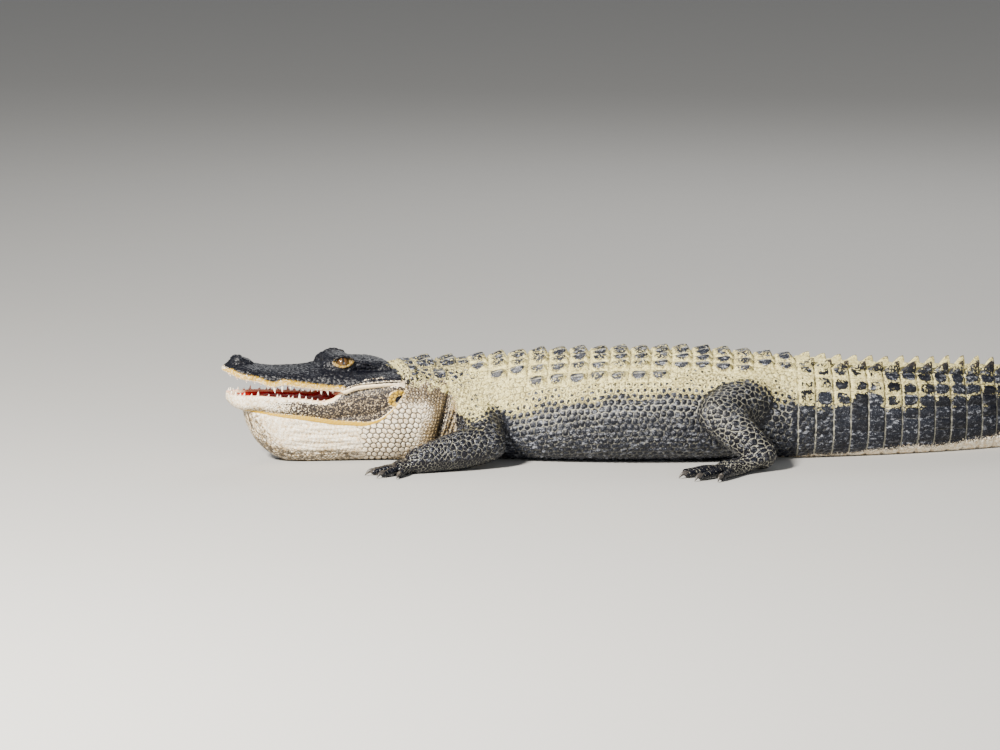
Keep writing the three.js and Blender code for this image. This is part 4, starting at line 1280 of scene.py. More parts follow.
@dataclass
class Hide:
    """Draws one skin over the masses of the animal.

    The skin is drawn smooth where legs leave the body in blend_passes divided by the square of voxel passes.
    """

    spine: Spine
    body: BodyForm
    head: HeadForm
    eye: Eye
    warp: Warp
    sections: SectionTable
    voxel: float
    blend_passes: float = 607.5

    def mass(self) -> Shell:
        """All closed masses together, as rows of s, v and z."""
        skull = HeadMass(self.head, self.eye)
        stations = np.concatenate([[NECK_START - 8], spread(NECK_START, TAIL_TIP, 8)])
        parts = [Shell.loft(self.body.rings(stations, 72)), skull.upper(), skull.lower()]
        for leg in LEGS:
            parts += [shell.moved(self.spine.locate) for shell in LegMass(leg).shells()]
        return Shell.joined(parts)

    def draw(self) -> Skin:
        """The even mesh of the whole skin, before its relief."""
        made = remeshed(self.mass().moved(self.warp.forward), self.voxel, "skin_mass")
        start, total, loops = mesh_loops(made.data)
        corners = np.stack([loops[start + np.minimum(k, total - 1)] for k in (3, 2, 1, 0)], axis=1)
        edges = mesh_edges(made.data)
        points = smoothed(mesh_points(made.data) / MM, edges, [0.55, -0.57] * 4)
        discard(made)
        flat = self.warp.back(points)
        near_root = np.zeros(len(flat))
        for leg in LEGS:
            root = self.spine.locate(np.array([leg.root], float))
            far = np.linalg.norm(flat - root, axis=1) / leg.radii[0]
            near_root = np.maximum(near_root, ease(2.3, 1.4, far))
        flat = self.eased(flat, edges, near_root)
        flat[:, 2] = np.maximum(flat[:, 2], 0.0)
        world = self.spine.place(flat)
        return Skin(flat, world, point_normals(world, corners), corners, *self.regions(flat, world),
                    height=np.zeros(len(flat)), marks={name: np.zeros(len(flat)) for name in MARKS})

    def eased(self, flat: np.ndarray, edges: np.ndarray, weight: np.ndarray) -> np.ndarray:
        """Points drawn smooth where legs leave the body, over the same width at any size of face.

        Args:
            flat: Rows of s, v and z.
            edges: Pairs of neighbours.
            weight: How much each point takes part.

        Returns:
            The points.
        """
        inside = np.flatnonzero(weight > 0)
        local = np.full(len(flat), -1)
        local[inside] = np.arange(len(inside))
        pairs = local[edges]
        pairs = pairs[(pairs >= 0).all(axis=1)]
        passes = round(self.blend_passes / self.voxel**2)
        eased = flat.copy()
        eased[inside] = smoothed(flat[inside], pairs, [0.6] * passes, weight[inside] * ease(0, 0.3, weight[inside]))
        return eased

    def regions(self, flat: np.ndarray, world: np.ndarray) -> tuple[np.ndarray, ...]:
        """Works out where points lie round the body and along the legs.

        Args:
            flat: Rows of s, v and z.
            world: The same points in the world.

        Returns:
            The skin's arc, under, leg, along_leg and toe.
        """
        arc, under, share = self.sections.measure(flat)
        on_leg, along_leg, toe = np.zeros(len(flat)), np.zeros(len(flat)), np.zeros(len(flat))
        outside = ease(1.0, 1.07, share)
        closest = np.full(len(flat), FAR)
        for number, leg in enumerate(LEGS):
            places, radii = LegMass(leg).middle_line()
            best = np.full(len(flat), FAR)
            travelled = LEG_STEP * number
            for k, (a, b) in enumerate(zip(places, places[1:])):
                last = k == len(places) - 2
                length = np.linalg.norm(b - a)
                t = np.clip((world - a) @ ((b - a) / length) / length, 0, 3.2 if last else 1)
                off = world - (a + t[:, None] * (b - a))
                radius = radii[k] + np.minimum(t, 1) * (radii[k + 1] - radii[k])
                ratio = np.linalg.norm(off, axis=1) / radius
                best = np.minimum(best, ratio)
                nearer = ratio < closest
                closest = np.where(nearer, ratio, closest)
                along_leg = np.where(nearer, travelled + t * length, along_leg)
                toe = np.where(nearer, ease(0.9, 1.3, t) if last else 0.0, toe)
                travelled += length
            on_leg = np.maximum(on_leg, ease(1.3, 1.1, best) * outside)
        low_edge = ease(1.25, 1.5, share) * ease(62, 46, flat[:, 2]) * ease(-530, -500, flat[:, 0])
        return arc, under, np.maximum(on_leg, low_edge), along_leg, toe


@dataclass
class Relief:
    """Raises plates, scales and folds on the skin and marks where its colours go.

    Heights and sizes are in millimetres. A size of two numbers is the length of a scale and its width.
    """

    head: HeadForm
    eye: Eye
    scute_seed: int = 41
    scute_rim: float = 2.6
    scute_keel: float = 11.5
    flank_size: tuple[float, float] = (12.4, 12.0)
    belly_size: tuple[float, float] = (27.0, 24.0)
    loose_apart: float = 9.2
    tail_lanes: float = 9.0
    tail_small: tuple[float, float] = (TAIL_PITCH / 3, 9.0)
    toe_band: float = 7.0
    foot_apart: float = 6.0
    head_apart: float = 6.6
    jaw_apart: float = 4.4
    joint_size: tuple[float, float] = (8.6, 7.4)
    jowl_size: tuple[float, float] = (11.4, 9.6)
    jowl_small: tuple[float, float] = (7.4, 6.2)
    pouch_size: tuple[float, float] = (6.6, 5.4)
    nape_apart: float = 8.4

    def apply(self, skin: Skin) -> None:
        """Works out the height over the skin and all its marks, then moves the points."""
        s, z = skin.s, skin.z
        before = ease(7, -1, s - CREASE(z)) * ease(157, 147, z + 4 * ripple(skin.flat, 18, 2))
        self.on_head = np.maximum(ease(6, -6, s - NECK_START), before) * (1 - skin.leg)
        self.trunk = (1 - self.on_head) * (1 - skin.leg)
        self.tail = ease(VENT - 14, VENT + 4, s)
        wander = 10 * ripple(skin.world, 47, 7) + 7 * ripple(skin.world, 19, 8)
        self.drop = z - COAT_LINE(s) + 7 + wander * (1 + self.tail)
        self.poke = np.zeros(len(s))
        self.scuted = np.zeros(len(s))
        self.back_scutes(skin)
        self.neck_plates(skin)
        self.flank_scales(skin)
        self.loose_scales(skin)
        self.tail_whorls(skin)
        self.foot_scales(skin)
        self.head_scales(skin)
        self.throat_scales(skin)
        self.nape_scales(skin)
        self.lips_and_lids(skin)
        self.folds(skin)
        self.coat(skin)
        skin.world = skin.world + skin.normals * skin.height[:, None]
        skin.world[:, 2] = np.maximum(skin.world[:, 2], 0.0)

    def show(self, amount: np.ndarray) -> None:
        """Keeps the larger of how far the crowns of scales stand out of the dried mud."""
        self.poke = np.maximum(self.poke, amount)

    @staticmethod
    def scatter(skin: Skin, weight: np.ndarray, apart: float, seed: int, stretch: Sequence[float] = (1, 1, 1)
                ) -> tuple[Cells, np.ndarray]:
        """Uneven cells over one region of the skin.

        Args:
            skin: The skin.
            weight: How far each point belongs to the region.
            apart: Least distance from one middle to the next.
            seed: Which stream of chance.
            stretch: How much each axis is drawn out first.

        Returns:
            The cells, with zeros outside the region, and 1 for each point of the region.
        """
        chosen = weight > 0.01
        found = Cells.scattered(skin.flat[chosen], apart, seed, stretch)
        cells = Cells(*(np.zeros(len(weight)) for _ in range(3)))
        cells.inside[chosen], cells.number[chosen], cells.centre[chosen] = found.inside, found.number, found.centre
        return cells, chosen.astype(float)

    def back_scutes(self, skin: Skin) -> None:
        """Rows of keeled plates along the back."""
        s, arc = skin.s + 0.0005 * skin.arc**2, skin.arc * np.sign(skin.v)
        row = np.floor((s - FIRST_ROW) / TRUNK_PITCH + 0.5).astype(int)
        along = (s - FIRST_ROW) / TRUNK_PITCH - row
        inside = (row >= 0) & (row < len(COLUMNS))
        count = COLUMNS[np.clip(row, 0, len(COLUMNS) - 1)]
        column = np.floor(arc / COLUMN_WIDTH)
        over = arc / COLUMN_WIDTH - column - 0.5
        middle = np.abs(column + 0.5)
        inside &= middle < count / 2
        number = chance(row, column.astype(int), self.scute_seed)
        other = chance(row, column.astype(int), self.scute_seed + 1)
        over = over + 0.12 * (number - 0.5)
        rim = ease(0.0, 0.12, 0.5 - np.abs(along)) * ease(0.02, 0.16, 0.47 - np.abs(over))
        rise = np.where(along < 0.24, 0.34 + 0.66 * ease(-0.5, 0.22, along), ease(0.5, 0.24, along))
        blade = np.clip(1 - np.abs(over) / 0.42, 0, 1) ** 1.15
        size = (1.05 - 0.09 * middle) * (0.84 + 0.32 * number)
        oval = np.sqrt((along / 0.36) ** 2 + ((over + 0.02) / 0.39) ** 2)
        notch = 0.7 * np.sin(over * 34 + 5 * other) * ease(1.15, 0.6, oval) * (1 - blade)
        height = self.scute_rim * rim + self.scute_keel * size * rise * blade * rim + notch * rim
        weight = inside * self.trunk * (1 - self.tail)
        skin.height += weight * height
        self.show(weight * ease(1.08, 0.84, oval) * (0.82 + 0.36 * other))
        gap = 1 - ease(0.0, 0.055, 0.5 - np.abs(along))
        # gap is the joint between rows. The ring round each crown is a painted shadow rim that darkens the mud round
        # it, and a pale line where hide shows.
        skin.mark("edge", weight * np.maximum(gap, 0.8 * bell(oval - 1.0, 0.09)))
        # Painted highlight: a light line along the top of each keel.
        skin.mark("edge", weight * rim * rise * ease(0.78, 0.95, blade))
        skin.mark("net", weight * 0.8)
        # Each scute's tone, which also sets how strongly the painted silvery highlight streaks show on it.
        skin.mark("tint", weight * (0.75 + 0.25 * other))
        self.scuted = weight

    def neck_plates(self, skin: Skin) -> None:
        """The large plates on top of the neck."""
        arc = skin.arc * np.sign(skin.v)
        for plate in NUCHALS:
            along = (skin.s - plate.s) / plate.length
            over = (arc - plate.arc) / plate.width
            far = (np.abs(along) ** 3 + np.abs(over) ** 3) ** (1 / 3)
            rim = ease(0.52, 0.42, far)
            rise = np.where(along < 0.25, 0.35 + 0.65 * ease(-0.5, 0.22, along), ease(0.5, 0.25, along))
            blade = np.clip(1 - np.abs(over) / 0.46, 0, 1) ** 1.2
            ribs = 0.7 * np.sin(over * 30 + 4 * along) * (1 - blade)
            skin.height += rim * (2.5 + (plate.keel - 2.5) * rise * blade + ribs) * (1 - skin.leg)
            self.show(rim * ease(0.49, 0.36, far) * 1.02)
            skin.mark("tint", 0.9 * rim)
            border = bell(far - 0.46, 0.04) * (far < 0.6)
            # The first term is a painted highlight along the top of the keel; the second is the plate's border.
            skin.mark("edge", np.maximum(rim * rise * ease(0.72, 0.95, blade), border))
            skin.mark("net", 0.9 * rim)
            self.scuted = np.maximum(self.scuted, rim)

    def flank_scales(self, skin: Skin) -> None:
        """Rows of rounded scales on the flanks, and the square ones of the belly."""
        s, arc, under = skin.s, skin.arc * np.sign(skin.v), skin.under
        self.loose = np.clip(ease(-190, -262, s + 6 * ripple(skin.flat, 30, 4)) * self.trunk + skin.leg, 0, 1)
        free = self.trunk * (1 - self.scuted) * (1 - self.tail) * (1 - self.loose)
        rows = Cells.lattice(s, arc + 0.02 * s + 2.2 * ripple(skin.flat, 60, 72), self.flank_size, 0.46, 11)
        belly = ease(62, 50, under)
        big = 1 - belly
        dome = ease(0.2, 4.4, rows.inside)
        keel = ease(3.2, 0.6, np.abs(rows.across)) * ease(0.5, 4.0, rows.inside)
        skin.height += free * big * (1.7 * dome + 0.9 * keel)
        square_s = np.abs((s / self.belly_size[0]) % 1 - 0.5)
        square_v = np.abs((skin.v / self.belly_size[1]) % 1 - 0.5)
        groove = 1 - np.minimum(ease(0.5, 0.45, square_s), ease(0.5, 0.44, square_v))
        skin.height -= free * belly * groove
        skin.mark("edge", free * big * (1 - ease(0.35, 1.5, rows.inside)))
        skin.mark("net", free * big * (0.46 + 0.36 * ease(-60, -10, self.drop)))
        # Tone of each scale, raised towards the front, where the painted silvery highlight streaks show more.
        skin.mark("tint", free * big * (0.30 + 0.45 * rows.number + 0.25 * ease(-100, -160, s)))
        deep = 0.9 + 1.7 * ease(-24, 22, self.drop)
        bare = (0.80 + 0.45 * rows.number) * ease(52, 22, self.drop)
        self.show(free * big * ease(deep, deep + 1.5, rows.inside) * bare)

    def loose_scales(self, skin: Skin) -> None:
        """Small uneven scales of the neck, shoulders and legs."""
        covered = self.trunk * ease(-150, -300, skin.s)
        cells, region = self.scatter(skin, np.maximum(self.loose, covered), self.loose_apart, 31, (0.92, 1.0, 1.06))
        weight = self.loose * (1 - self.scuted) * (1 - ease(27, 19, skin.z) * skin.leg) * region
        dome = ease(0.1, 3.2, cells.inside)
        skin.height += weight * (1.7 * dome + 0.5 * (cells.number - 0.5) * dome)
        bare = 0.36 + 0.56 * ease(-280, -330, skin.s) * ease(120, 145, skin.z)
        crown = weight * ease(0.8, 2.2, cells.inside) * (bare + 0.45 * cells.number)
        skin.mark("edge", weight * (1 - ease(0.3, 1.25, cells.inside)))
        skin.mark("net", (0.85 - 0.12 * skin.leg - 0.2 * skin.leg * ease(0, -60, skin.s)) * self.loose)
        skin.mark("tint", weight * cells.number * (1 - 0.5 * skin.leg))
        self.show(crown * np.where(skin.leg > 0.5, 1.0, 0.9))
        skin.mark("wet", skin.leg * ease(110, 60, skin.z))

    def tail_whorls(self, skin: Skin) -> None:
        """Rings of oblong, keeled scales round the tail."""
        s = skin.s
        half_girth = skin.arc + skin.under
        offset = CREST_OFFSET(s)
        single = s > SINGLE_START
        row = np.where(single, (s - SINGLE_START) / SINGLE_PITCH + DOUBLE_ROWS, (s - VENT) / TAIL_PITCH)
        part = row - np.floor(row) - 0.5
        along = np.abs(part)
        wide = (half_girth - offset) / self.tail_lanes
        down = (skin.arc - offset) / wide
        shifted = down + 0.12 * (chance(np.floor(row).astype(int), 3, 9) - 0.5)
        lane = np.floor(shifted)
        over = np.abs(shifted - lane - 0.5)
        pitch = np.where(single, SINGLE_PITCH, TAIL_PITCH)
        from_ring = (0.5 - along) * pitch
        from_line = (0.5 - over) * wide
        number = chance(np.floor(row).astype(int), lane.astype(int), 5)
        weight = self.trunk * self.tail
        rows = ease(VENT + 6 * TAIL_PITCH, VENT, s) * ease(2.6, 3.6, shifted)
        small = Cells.lattice(s, skin.arc, self.tail_small, 0.3, 71)
        ring = ease(0.2, 2.2, from_ring)
        line = ease(0.1, 1.5, from_line)
        crown = ease(0, 7, np.minimum(from_ring, from_line * 1.4))
        keel = ease(0.42, 0.0, over) * (0.4 + 0.6 * ease(-0.5, 0.3, part))
        keel *= ease(0.5, 0.42, along) * ease(6.5, 0.5, down)
        plain = 2.2 * ring * (0.45 + 0.55 * line) + 1.2 * crown + 3.6 * keel
        skin.height += weight * ((1 - rows) * plain + rows * (1.4 * ring + 1.8 * ease(0.2, 3.2, small.inside)))
        ring_mark = 1 - ease(0.6, 1.9, from_ring)
        line_mark = 0.62 * (1 - ease(0.3, 1.0, from_line))
        small_mark = 0.7 * (1 - ease(0.35, 1.3, small.inside))
        skin.mark("edge", weight * np.maximum(ring_mark, (1 - rows) * line_mark + rows * small_mark))
        skin.mark("net", weight * (0.55 + 0.45 * ring_mark))
        skin.mark("tint", weight * ((1 - rows) * number + rows * small.number))
        oval = ease(0.54, 0.30, np.hypot(along, over * 0.92))
        blotch = 0.45 * ripple(skin.world, 17, 73) + 0.3 * ripple(skin.world, 8, 74)
        large = crown * oval * (0.78 + 0.45 * number) + 1.25 * blotch
        bare = (1 - rows) * large + rows * ease(1, 3, small.inside) * 0.6
        self.show(weight * ease(-0.2, 0.2, down) * bare)

    def foot_scales(self, skin: Skin) -> None:
        """Cross bands on the toes and small scales on the feet."""
        foot = skin.leg * ease(29, 20, skin.z)
        band_place = np.abs((skin.along_leg % LEG_STEP / self.toe_band) % 1 - 0.5)
        toes = foot * ease(0.45, 0.7, skin.toe)
        skin.height += toes * ease(0.5, 0.36, band_place) - 0.4 * foot
        skin.mark("edge", 0.8 * toes * ease(0.40, 0.47, band_place))
        cells, region = self.scatter(skin, foot * (1 - toes), self.foot_apart, 33)
        weight = foot * (1 - toes) * region
        skin.height += weight * 1.1 * ease(0.1, 2.0, cells.inside)
        skin.mark("edge", weight * (1 - ease(0.3, 1.1, cells.inside)))

    def head_scales(self, skin: Skin) -> None:
        """Pitted hide of the snout and skull, and the speckled side of the lower jaw."""
        u, z, head = skin.u, skin.z, self.on_head
        v = np.abs(skin.v)
        self.above = z - self.head.upper_lip(u)
        self.below = self.head.lower_lip(u) - z
        self.from_jaw = z - JAW_LINE(u)
        skull = head * ease(340, 331, u)
        self.top = skull * ease(-1, 3, self.above)
        self.jaw = skull * ease(-1, 3, self.below) * ease(-2.5, 2.5, self.from_jaw)
        self.throat = head * (1 - self.top) * np.where(u < 336, ease(2.5, -2.5, self.from_jaw), 1.0)
        cells, region = self.scatter(skin, self.top, self.head_apart, 37, (0.8, 1.0, 1.0))
        pad = 0.95 * ease(0.1, 2.2, cells.inside) + 0.5 * (cells.number - 0.5) * ease(0.3, 1.6, cells.inside)
        skin.height += self.top * (pad + 0.8 * ripple(skin.flat, 13, 61) + 0.45 * ripple(skin.flat, 6, 62))
        skin.mark("edge", self.top * region * 0.32 * (1 - ease(0.25, 1.0, cells.inside)) * cells.number)
        skin.mark("net", 0.55 * self.top)
        skin.mark("tint", self.top * (0.04 + 0.16 * ripple(skin.flat, 15, 63)))
        cells, region = self.scatter(skin, self.jaw, self.jaw_apart, 38)
        skin.height += self.jaw * 0.55 * ease(0.1, 1.5, cells.inside)
        noise = ripple(skin.flat, 22, 3)
        backward = ease(45, 190, u + 30 * ease(16, 5, self.from_jaw) + 4 * noise)
        skin.mark("grey", self.jaw * backward * ease(3, 9, self.from_jaw) * ease(3, 10, self.below))
        patch = np.hypot((u - 319) / 19, (z - 124) / 17) + 0.12 * noise
        rear = self.jaw * ease(1.15, 0.8, patch)
        tiles = Cells.lattice(u + 0.3 * z, z, self.joint_size, 0.35, 52)
        skin.marks["grey"] *= 1 - 0.9 * rear
        spot = np.hypot((u - 324) / 10.5, (z - 122) / 8.0) + 0.5 * noise
        hole = rear * ease(1.15, 0.85, spot)
        skin.mark("yellow", 0.72 * rear * (1 - hole))
        skin.mark("tile", rear * (1 - ease(0.3, 1.2, tiles.inside)))
        skin.height += rear * ease(0.2, 2.2, tiles.inside)
        skin.mark("dark", hole)
        skin.mark("tan", 0.9 * self.jaw * bell(u - 58, 22) * bell(z - 100, 10))
        skin.mark("tan", 0.35 * self.jaw * ease(150, 90, u) * ease(8, 2, self.from_jaw) * ease(0.7, 0.9, v / 60))

    def throat_scales(self, skin: Skin) -> None:
        """Tiles of the jowl and small scales of the throat pouch."""
        u, z = skin.u, skin.z
        side = u + 0.32 * z
        tiles = Cells.lattice(side, z, self.jowl_size, 0.34, 51)
        fine = Cells.lattice(side, z, self.jowl_small, 0.4, 53)
        under = Cells.lattice(side, skin.under, self.pouch_size, 0.4, 63)
        rear = CREASE(z) - skin.s
        jowl = self.throat * ease(225, 268, u + 0.25 * (z - 60))
        near_crease = ease(60, 38, rear + 6 * ripple(skin.flat, 14, 64))
        small = jowl * np.maximum(near_crease, ease(94, 124, z) * ease(330, 350, u))
        tile = jowl - small
        pouch = self.throat - jowl
        skin.height += tile * 1.7 * ease(0.2, 2.6, tiles.inside) + small * 1.3 * ease(0.1, 2.2, fine.inside)
        skin.height += pouch * 0.8 * ease(0.1, 1.8, under.inside)
        skin.mark("tile", tile * (1 - ease(0.5, 1.7, tiles.inside)))
        skin.mark("tile", small * np.maximum(1 - ease(0.3, 1.2, fine.inside), 0.9 * ease(1.9, 1.0, fine.centre)))
        skin.mark("tan", jowl * ease(66, 16, rear + 8 * ripple(skin.flat, 20, 70)))
        upper = jowl * ease(88, 132, z + 12 * ripple(skin.flat, 22, 71))
        upper *= ease(324, 344, u + 7 * ripple(skin.flat, 24, 76))
        skin.mark("tan", 0.8 * upper)
        skin.mark("grey", upper * (0.30 + 0.5 * (1 - ease(0.4, 1.6, fine.inside))))
        front = ease(150, 84, u + 0.55 * z)
        low = ease(46, 12, z + 5 * ripple(skin.flat, 24, 65)) * ease(55, 90, u)
        speck = pouch * np.clip(front + low, 0, 1)
        filled = ease(0.45, 0.75, under.number) * ease(0.4, 1.4, under.inside)
        scale = np.maximum(1 - ease(0.3, 1.1, under.inside), filled)
        skin.mark("tile", 0.72 * speck * scale)
        skin.mark("tan", 0.55 * speck)
        skin.mark("tile", 0.28 * pouch * (1 - ease(0.2, 0.9, under.inside)))
        plain = pouch * ease(95, 140, u) * ease(330, 290, u) * ease(8, 22, z)
        fold = 1.1 * np.sin(z / 3.1 + 1.5 * np.sin(u / 37)) + 0.6 * np.sin(z / 1.35 + 2.2 * np.sin(u / 23))
        skin.height += plain * fold
        # Painted shade: the troughs of the throat's folds are darkened towards tan.
        skin.mark("tan", 0.45 * plain * ease(0.3, 1.4, -fold))

    def nape_scales(self, skin: Skin) -> None:
        """Small scales between the skull and the plates of the neck."""
        weight = self.on_head * (1 - self.top) * ease(140, 156, skin.z) * ease(326, 340, skin.u)
        cells, region = self.scatter(skin, weight, self.nape_apart, 43)
        skin.height += weight * (2.0 * ease(0.3, 2.6, cells.inside))
        skin.mark("dark", weight)
        skin.mark("tint", 0.4 * weight)
        self.show(weight * region * (ease(0.8, 2.2, cells.inside) * (0.72 + 0.5 * cells.number)))

    def lips_and_lids(self, skin: Skin) -> None:
        """Bands along the lips and jaw, the inside of the mouth, and the eyelids."""
        u, z, v, head = skin.u, skin.z, np.abs(skin.v), self.on_head
        form, above = self.head, self.above
        lip_back = ease(214, 226, u)
        dark = ease(2.0, 15, above) * (1 - lip_back) + ease(2.5, 8, above) * lip_back
        skin.mark("dark", self.top * dark)
        band = self.top * ease(16, 8, above) * ease(-2, 1, above) * (1 - lip_back)
        skin.mark("yellow", 0.52 * band * ease(0.7, 0.88, v / np.maximum(form.upper_half(u), 1)))
        self.jaw_line(skin, v)
        self.mouth_inside(skin, v)
        half = GAPE_WIDTH(u)
        off = z - form.lip_back(u) + 3.0
        gape = head * ease(half + 1.0, half - 1.0, np.abs(off)) * ease(207, 220, u) * ease(332, 300, u)
        gape *= skin.leg < 0.1
        skin.mark("gum", gape)
        self.clear(skin, gape, "grey", "dark", "yellow")
        groove = bell(z - form.lip_back(u) - 2.0, 1.5) * ease(214, 226, u) * ease(336, 315, u)
        skin.height += 1.3 * gape - 2.6 * head * groove
        skin.mark("dark", head * groove)
        ridge = bell(above - 9.5 - 0.02 * (u - 260), 1.5) * ease(246, 258, u) * ease(306, 290, u) * self.top
        self.clear(skin, 0.5 * ridge, "dark")
        skin.height += 0.9 * ridge
        self.lids(skin, v)
        self.clear(skin, skin.marks["gum"], "grey")

    @staticmethod
    def clear(skin: Skin, amount: np.ndarray, *names: str) -> None:
        """Takes a share off some marks."""
        for name in names:
            skin.marks[name] *= 1 - amount

    def jaw_line(self, skin: Skin, v: np.ndarray) -> None:
        """The yellow band along the bottom of the lower jaw; v is the distance from the midline."""
        u, wide = skin.u, JAW_BAND(skin.u)
        line = ease(0.5 * wide + 1.2, 0.5 * wide - 1.2, np.abs(self.from_jaw - 0.5 * wide))
        line *= self.on_head * ease(20, 45, u) * ease(-2, 2, self.below) * ease(340, 336, u)
        line *= ease(0.6, 0.75, v / np.maximum(self.head.jaw_half(u), 1))
        skin.mark("yellow", line * (0.55 + 0.45 * ease(320, 250, u)))
        self.clear(skin, line, "grey", "tile", "dark")
        skin.height += 1.1 * line * self.jaw

    def mouth_inside(self, skin: Skin, v: np.ndarray) -> None:
        """Red of the palate and floor, and the pale rim; v is the distance from the midline."""
        u, form, above, below = skin.u, self.head, self.above, self.below
        palate = ease(16, 24, u) * ease(6, 9, form.upper_half(u - 10) - v)
        palate *= ease(-4, -1, above) * ease(19, 16, above)
        floor = ease(14, 19, u) * ease(3, 6, form.lower_half(u - 10) - v) * ease(-2, 1, below) * ease(20, 17, below)
        skin.mark("red", self.on_head * ease(214, 208, u) * np.clip(palate + floor, 0, 1))
        rim = ease(-5, -1, below) * ease(5, 1.5, below) * ease(2.0, 4.0, form.lower_half(u) - v)
        skin.mark("gum", self.on_head * rim * ease(222, 214, u))

    def lids(self, skin: Skin, v: np.ndarray) -> None:
        """The slim, pale ring round each eye; v is the distance from the midline."""
        u, z, eye = skin.u, skin.z, self.eye
        gaze = np.hypot((u - eye.u - 1) / 22.5, (z - eye.z - 4.0) / 10.8) + 0.05 * ripple(skin.flat, 7, 69)
        lids = self.on_head * ease(1.0, 0.90, gaze) * ease(30, 38, v) * ease(201, 196, z)
        upper = ease(eye.z + 2, eye.z + 8, z)
        self.clear(skin, (0.55 - 0.27 * upper) * lids, "dark")
        skin.mark("yellow", (0.34 - 0.16 * upper) * lids)
        skin.mark("tan", 0.95 * lids)

    def folds(self, skin: Skin) -> None:
        """The crease behind the jowl and the wrinkles of the neck and elbow, with painted shade in the crease and in
        the wrinkles' troughs and painted highlights on their crests.
        """
        s, z = skin.s, skin.z
        behind = s - CREASE(z)
        low = ease(160, 128, z) * (1 - skin.leg)
        skin.height -= low * 9 * bell(behind, 6.0)
        skin.height += low * 5 * bell(behind + 22, 17.0) * ease(125, 90, z)
        # Painted shade: the bottom of the crease is darkened.
        skin.mark("grey", 0.9 * low * bell(behind, 5.0))
        for shift, depth, wide in ((16, 4.0, 4.5), (33, 3.2, 5.0), (52, 2.2, 5.5)):
            wander = 5 * np.sin(z / 19 + shift)
            skin.height -= low * depth * bell(behind - shift - wander, wide)
        fan = low * ease(2, 10, behind) * ease(110, 60, behind + 14 * ripple(skin.flat, 30, 66))
        wave = np.sin(behind / 1.25 + 2.2 * ripple(skin.flat, 22, 67) + 0.02 * z)
        skin.height += fan * 0.8 * wave
        # Painted highlights on the wrinkles' crests, following the wave that raises them.
        skin.mark("edge", 0.75 * fan * ease(0.1, 0.9, wave))
        skin.mark("tan", fan * 0.9)
        # Painted shade in the wrinkles' troughs.
        skin.mark("grey", 0.8 * fan * ease(0.9, -0.3, wave) * ease(112, 92, z + 8 * ripple(skin.flat, 26, 68)))

    def coat(self, skin: Skin) -> None:
        """Dried mud over the back, the neck and the upper flanks."""
        start = ease(-14, 14, skin.s + 443 + 0.55 * (skin.z - 180) + 10 * ripple(skin.world, 12, 9))
        foreleg = skin.leg * ease(-100, -180, skin.s)
        nape = self.throat * ease(128, 156, skin.z + 14 * ripple(skin.flat, 15, 75))
        thick = (1 - 0.38 * ease(470, 640, skin.s)) * ease(-38, 24, self.drop)
        thick *= np.clip(self.trunk + self.top + foreleg + nape, 0, 1)
        height = skin.z + 0.35 * (skin.s - 250) + 10 * ripple(skin.world, 30, 13)
        thigh = skin.leg * ease(100, 200, skin.s) * ease(112, 168, height)
        thick = np.clip(thick + 0.85 * thigh, 0, 1) * start
        skin.mark("coat", np.clip(1.08 * thick - 0.72 * self.poke * ease(0.0, 0.3, thick), 0, 1))
        belly = self.trunk * ease(78, 40, skin.under + 6 * ripple(skin.world, 40, 12))
        skin.mark("dark", np.clip(self.trunk + skin.leg, 0, 1) * (1 - belly) * (1 - 0.75 * skin.marks["tan"]))


class Slot(Enum):
    """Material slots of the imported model."""

    HEAD = "head_hide"
    JAW = "jaw_hide"
    BACK = "back_hide"
    LEG = "leg_hide"
    MOUTH = "mouth"
    EYE = "eye"


def flat_uv(mesh: bpy.types.Mesh, rest: np.ndarray, normals: np.ndarray) -> None:
    """Lays a mesh out for baking, seen along the axis that each face looks along.

    Args:
        mesh: Mesh to give the map OFBake.
        rest: Its points before the relief.
        normals: Unit normals at those points.
    """
    layer = mesh.uv_layers.new(name="OFBake")
    start, total, loops = mesh_loops(mesh)
    face_of = np.repeat(np.arange(len(start)), total)
    facing = np.zeros((len(start), 3))
    for axis in range(3):
        facing[:, axis] = np.bincount(face_of, weights=normals[loops, axis], minlength=len(start))
    axis = np.argmax(np.abs(facing), axis=1)
    tile = axis * 2 + (np.take_along_axis(facing, axis[:, None], axis=1)[:, 0] > 0)
    low, high = rest.min(axis=0), rest.max(axis=0)
    span = float((high - low).max()) or 1.0
    other_axes = np.array([(1, 2), (0, 2), (0, 1)])[axis[face_of]]
    a, b = np.take_along_axis(((rest - low) / span)[loops], other_axes, axis=1).T
    height = float(((high - low) / span)[1:].max())
    tiles, edge, gap = 6, 0.005, 0.02
    down = (tile[face_of] + gap + (1 - 2 * gap) * b / max(height, 1e-6)) / tiles
    uv = np.stack([edge + (1 - 2 * edge) * a, down], axis=1)
    layer.data.foreach_set("uv", np.clip(uv, 0, 1).astype(np.float32).ravel())


def dress(mesh: bpy.types.Mesh, material: bpy.types.Material, marks: dict[str, np.ndarray] | None = None) -> None:
    """Shades a mesh smooth, gives it a finish and writes marks that the finish reads at its points."""
    mesh.polygons.foreach_set("use_smooth", np.ones(len(mesh.polygons), bool))
    mesh.materials.append(material)
    for mark, amount in (marks or {}).items():
        layer = mesh.attributes.new(mark, "FLOAT", "POINT")
        layer.data.foreach_set("value", amount.astype(np.float32))


@dataclass(frozen=True)
class SkinPiece:
    """One piece of the skin: its name, slot, and the solids that it stands for."""

    name: str
    slot: Slot
    nodes: tuple[str, ...]


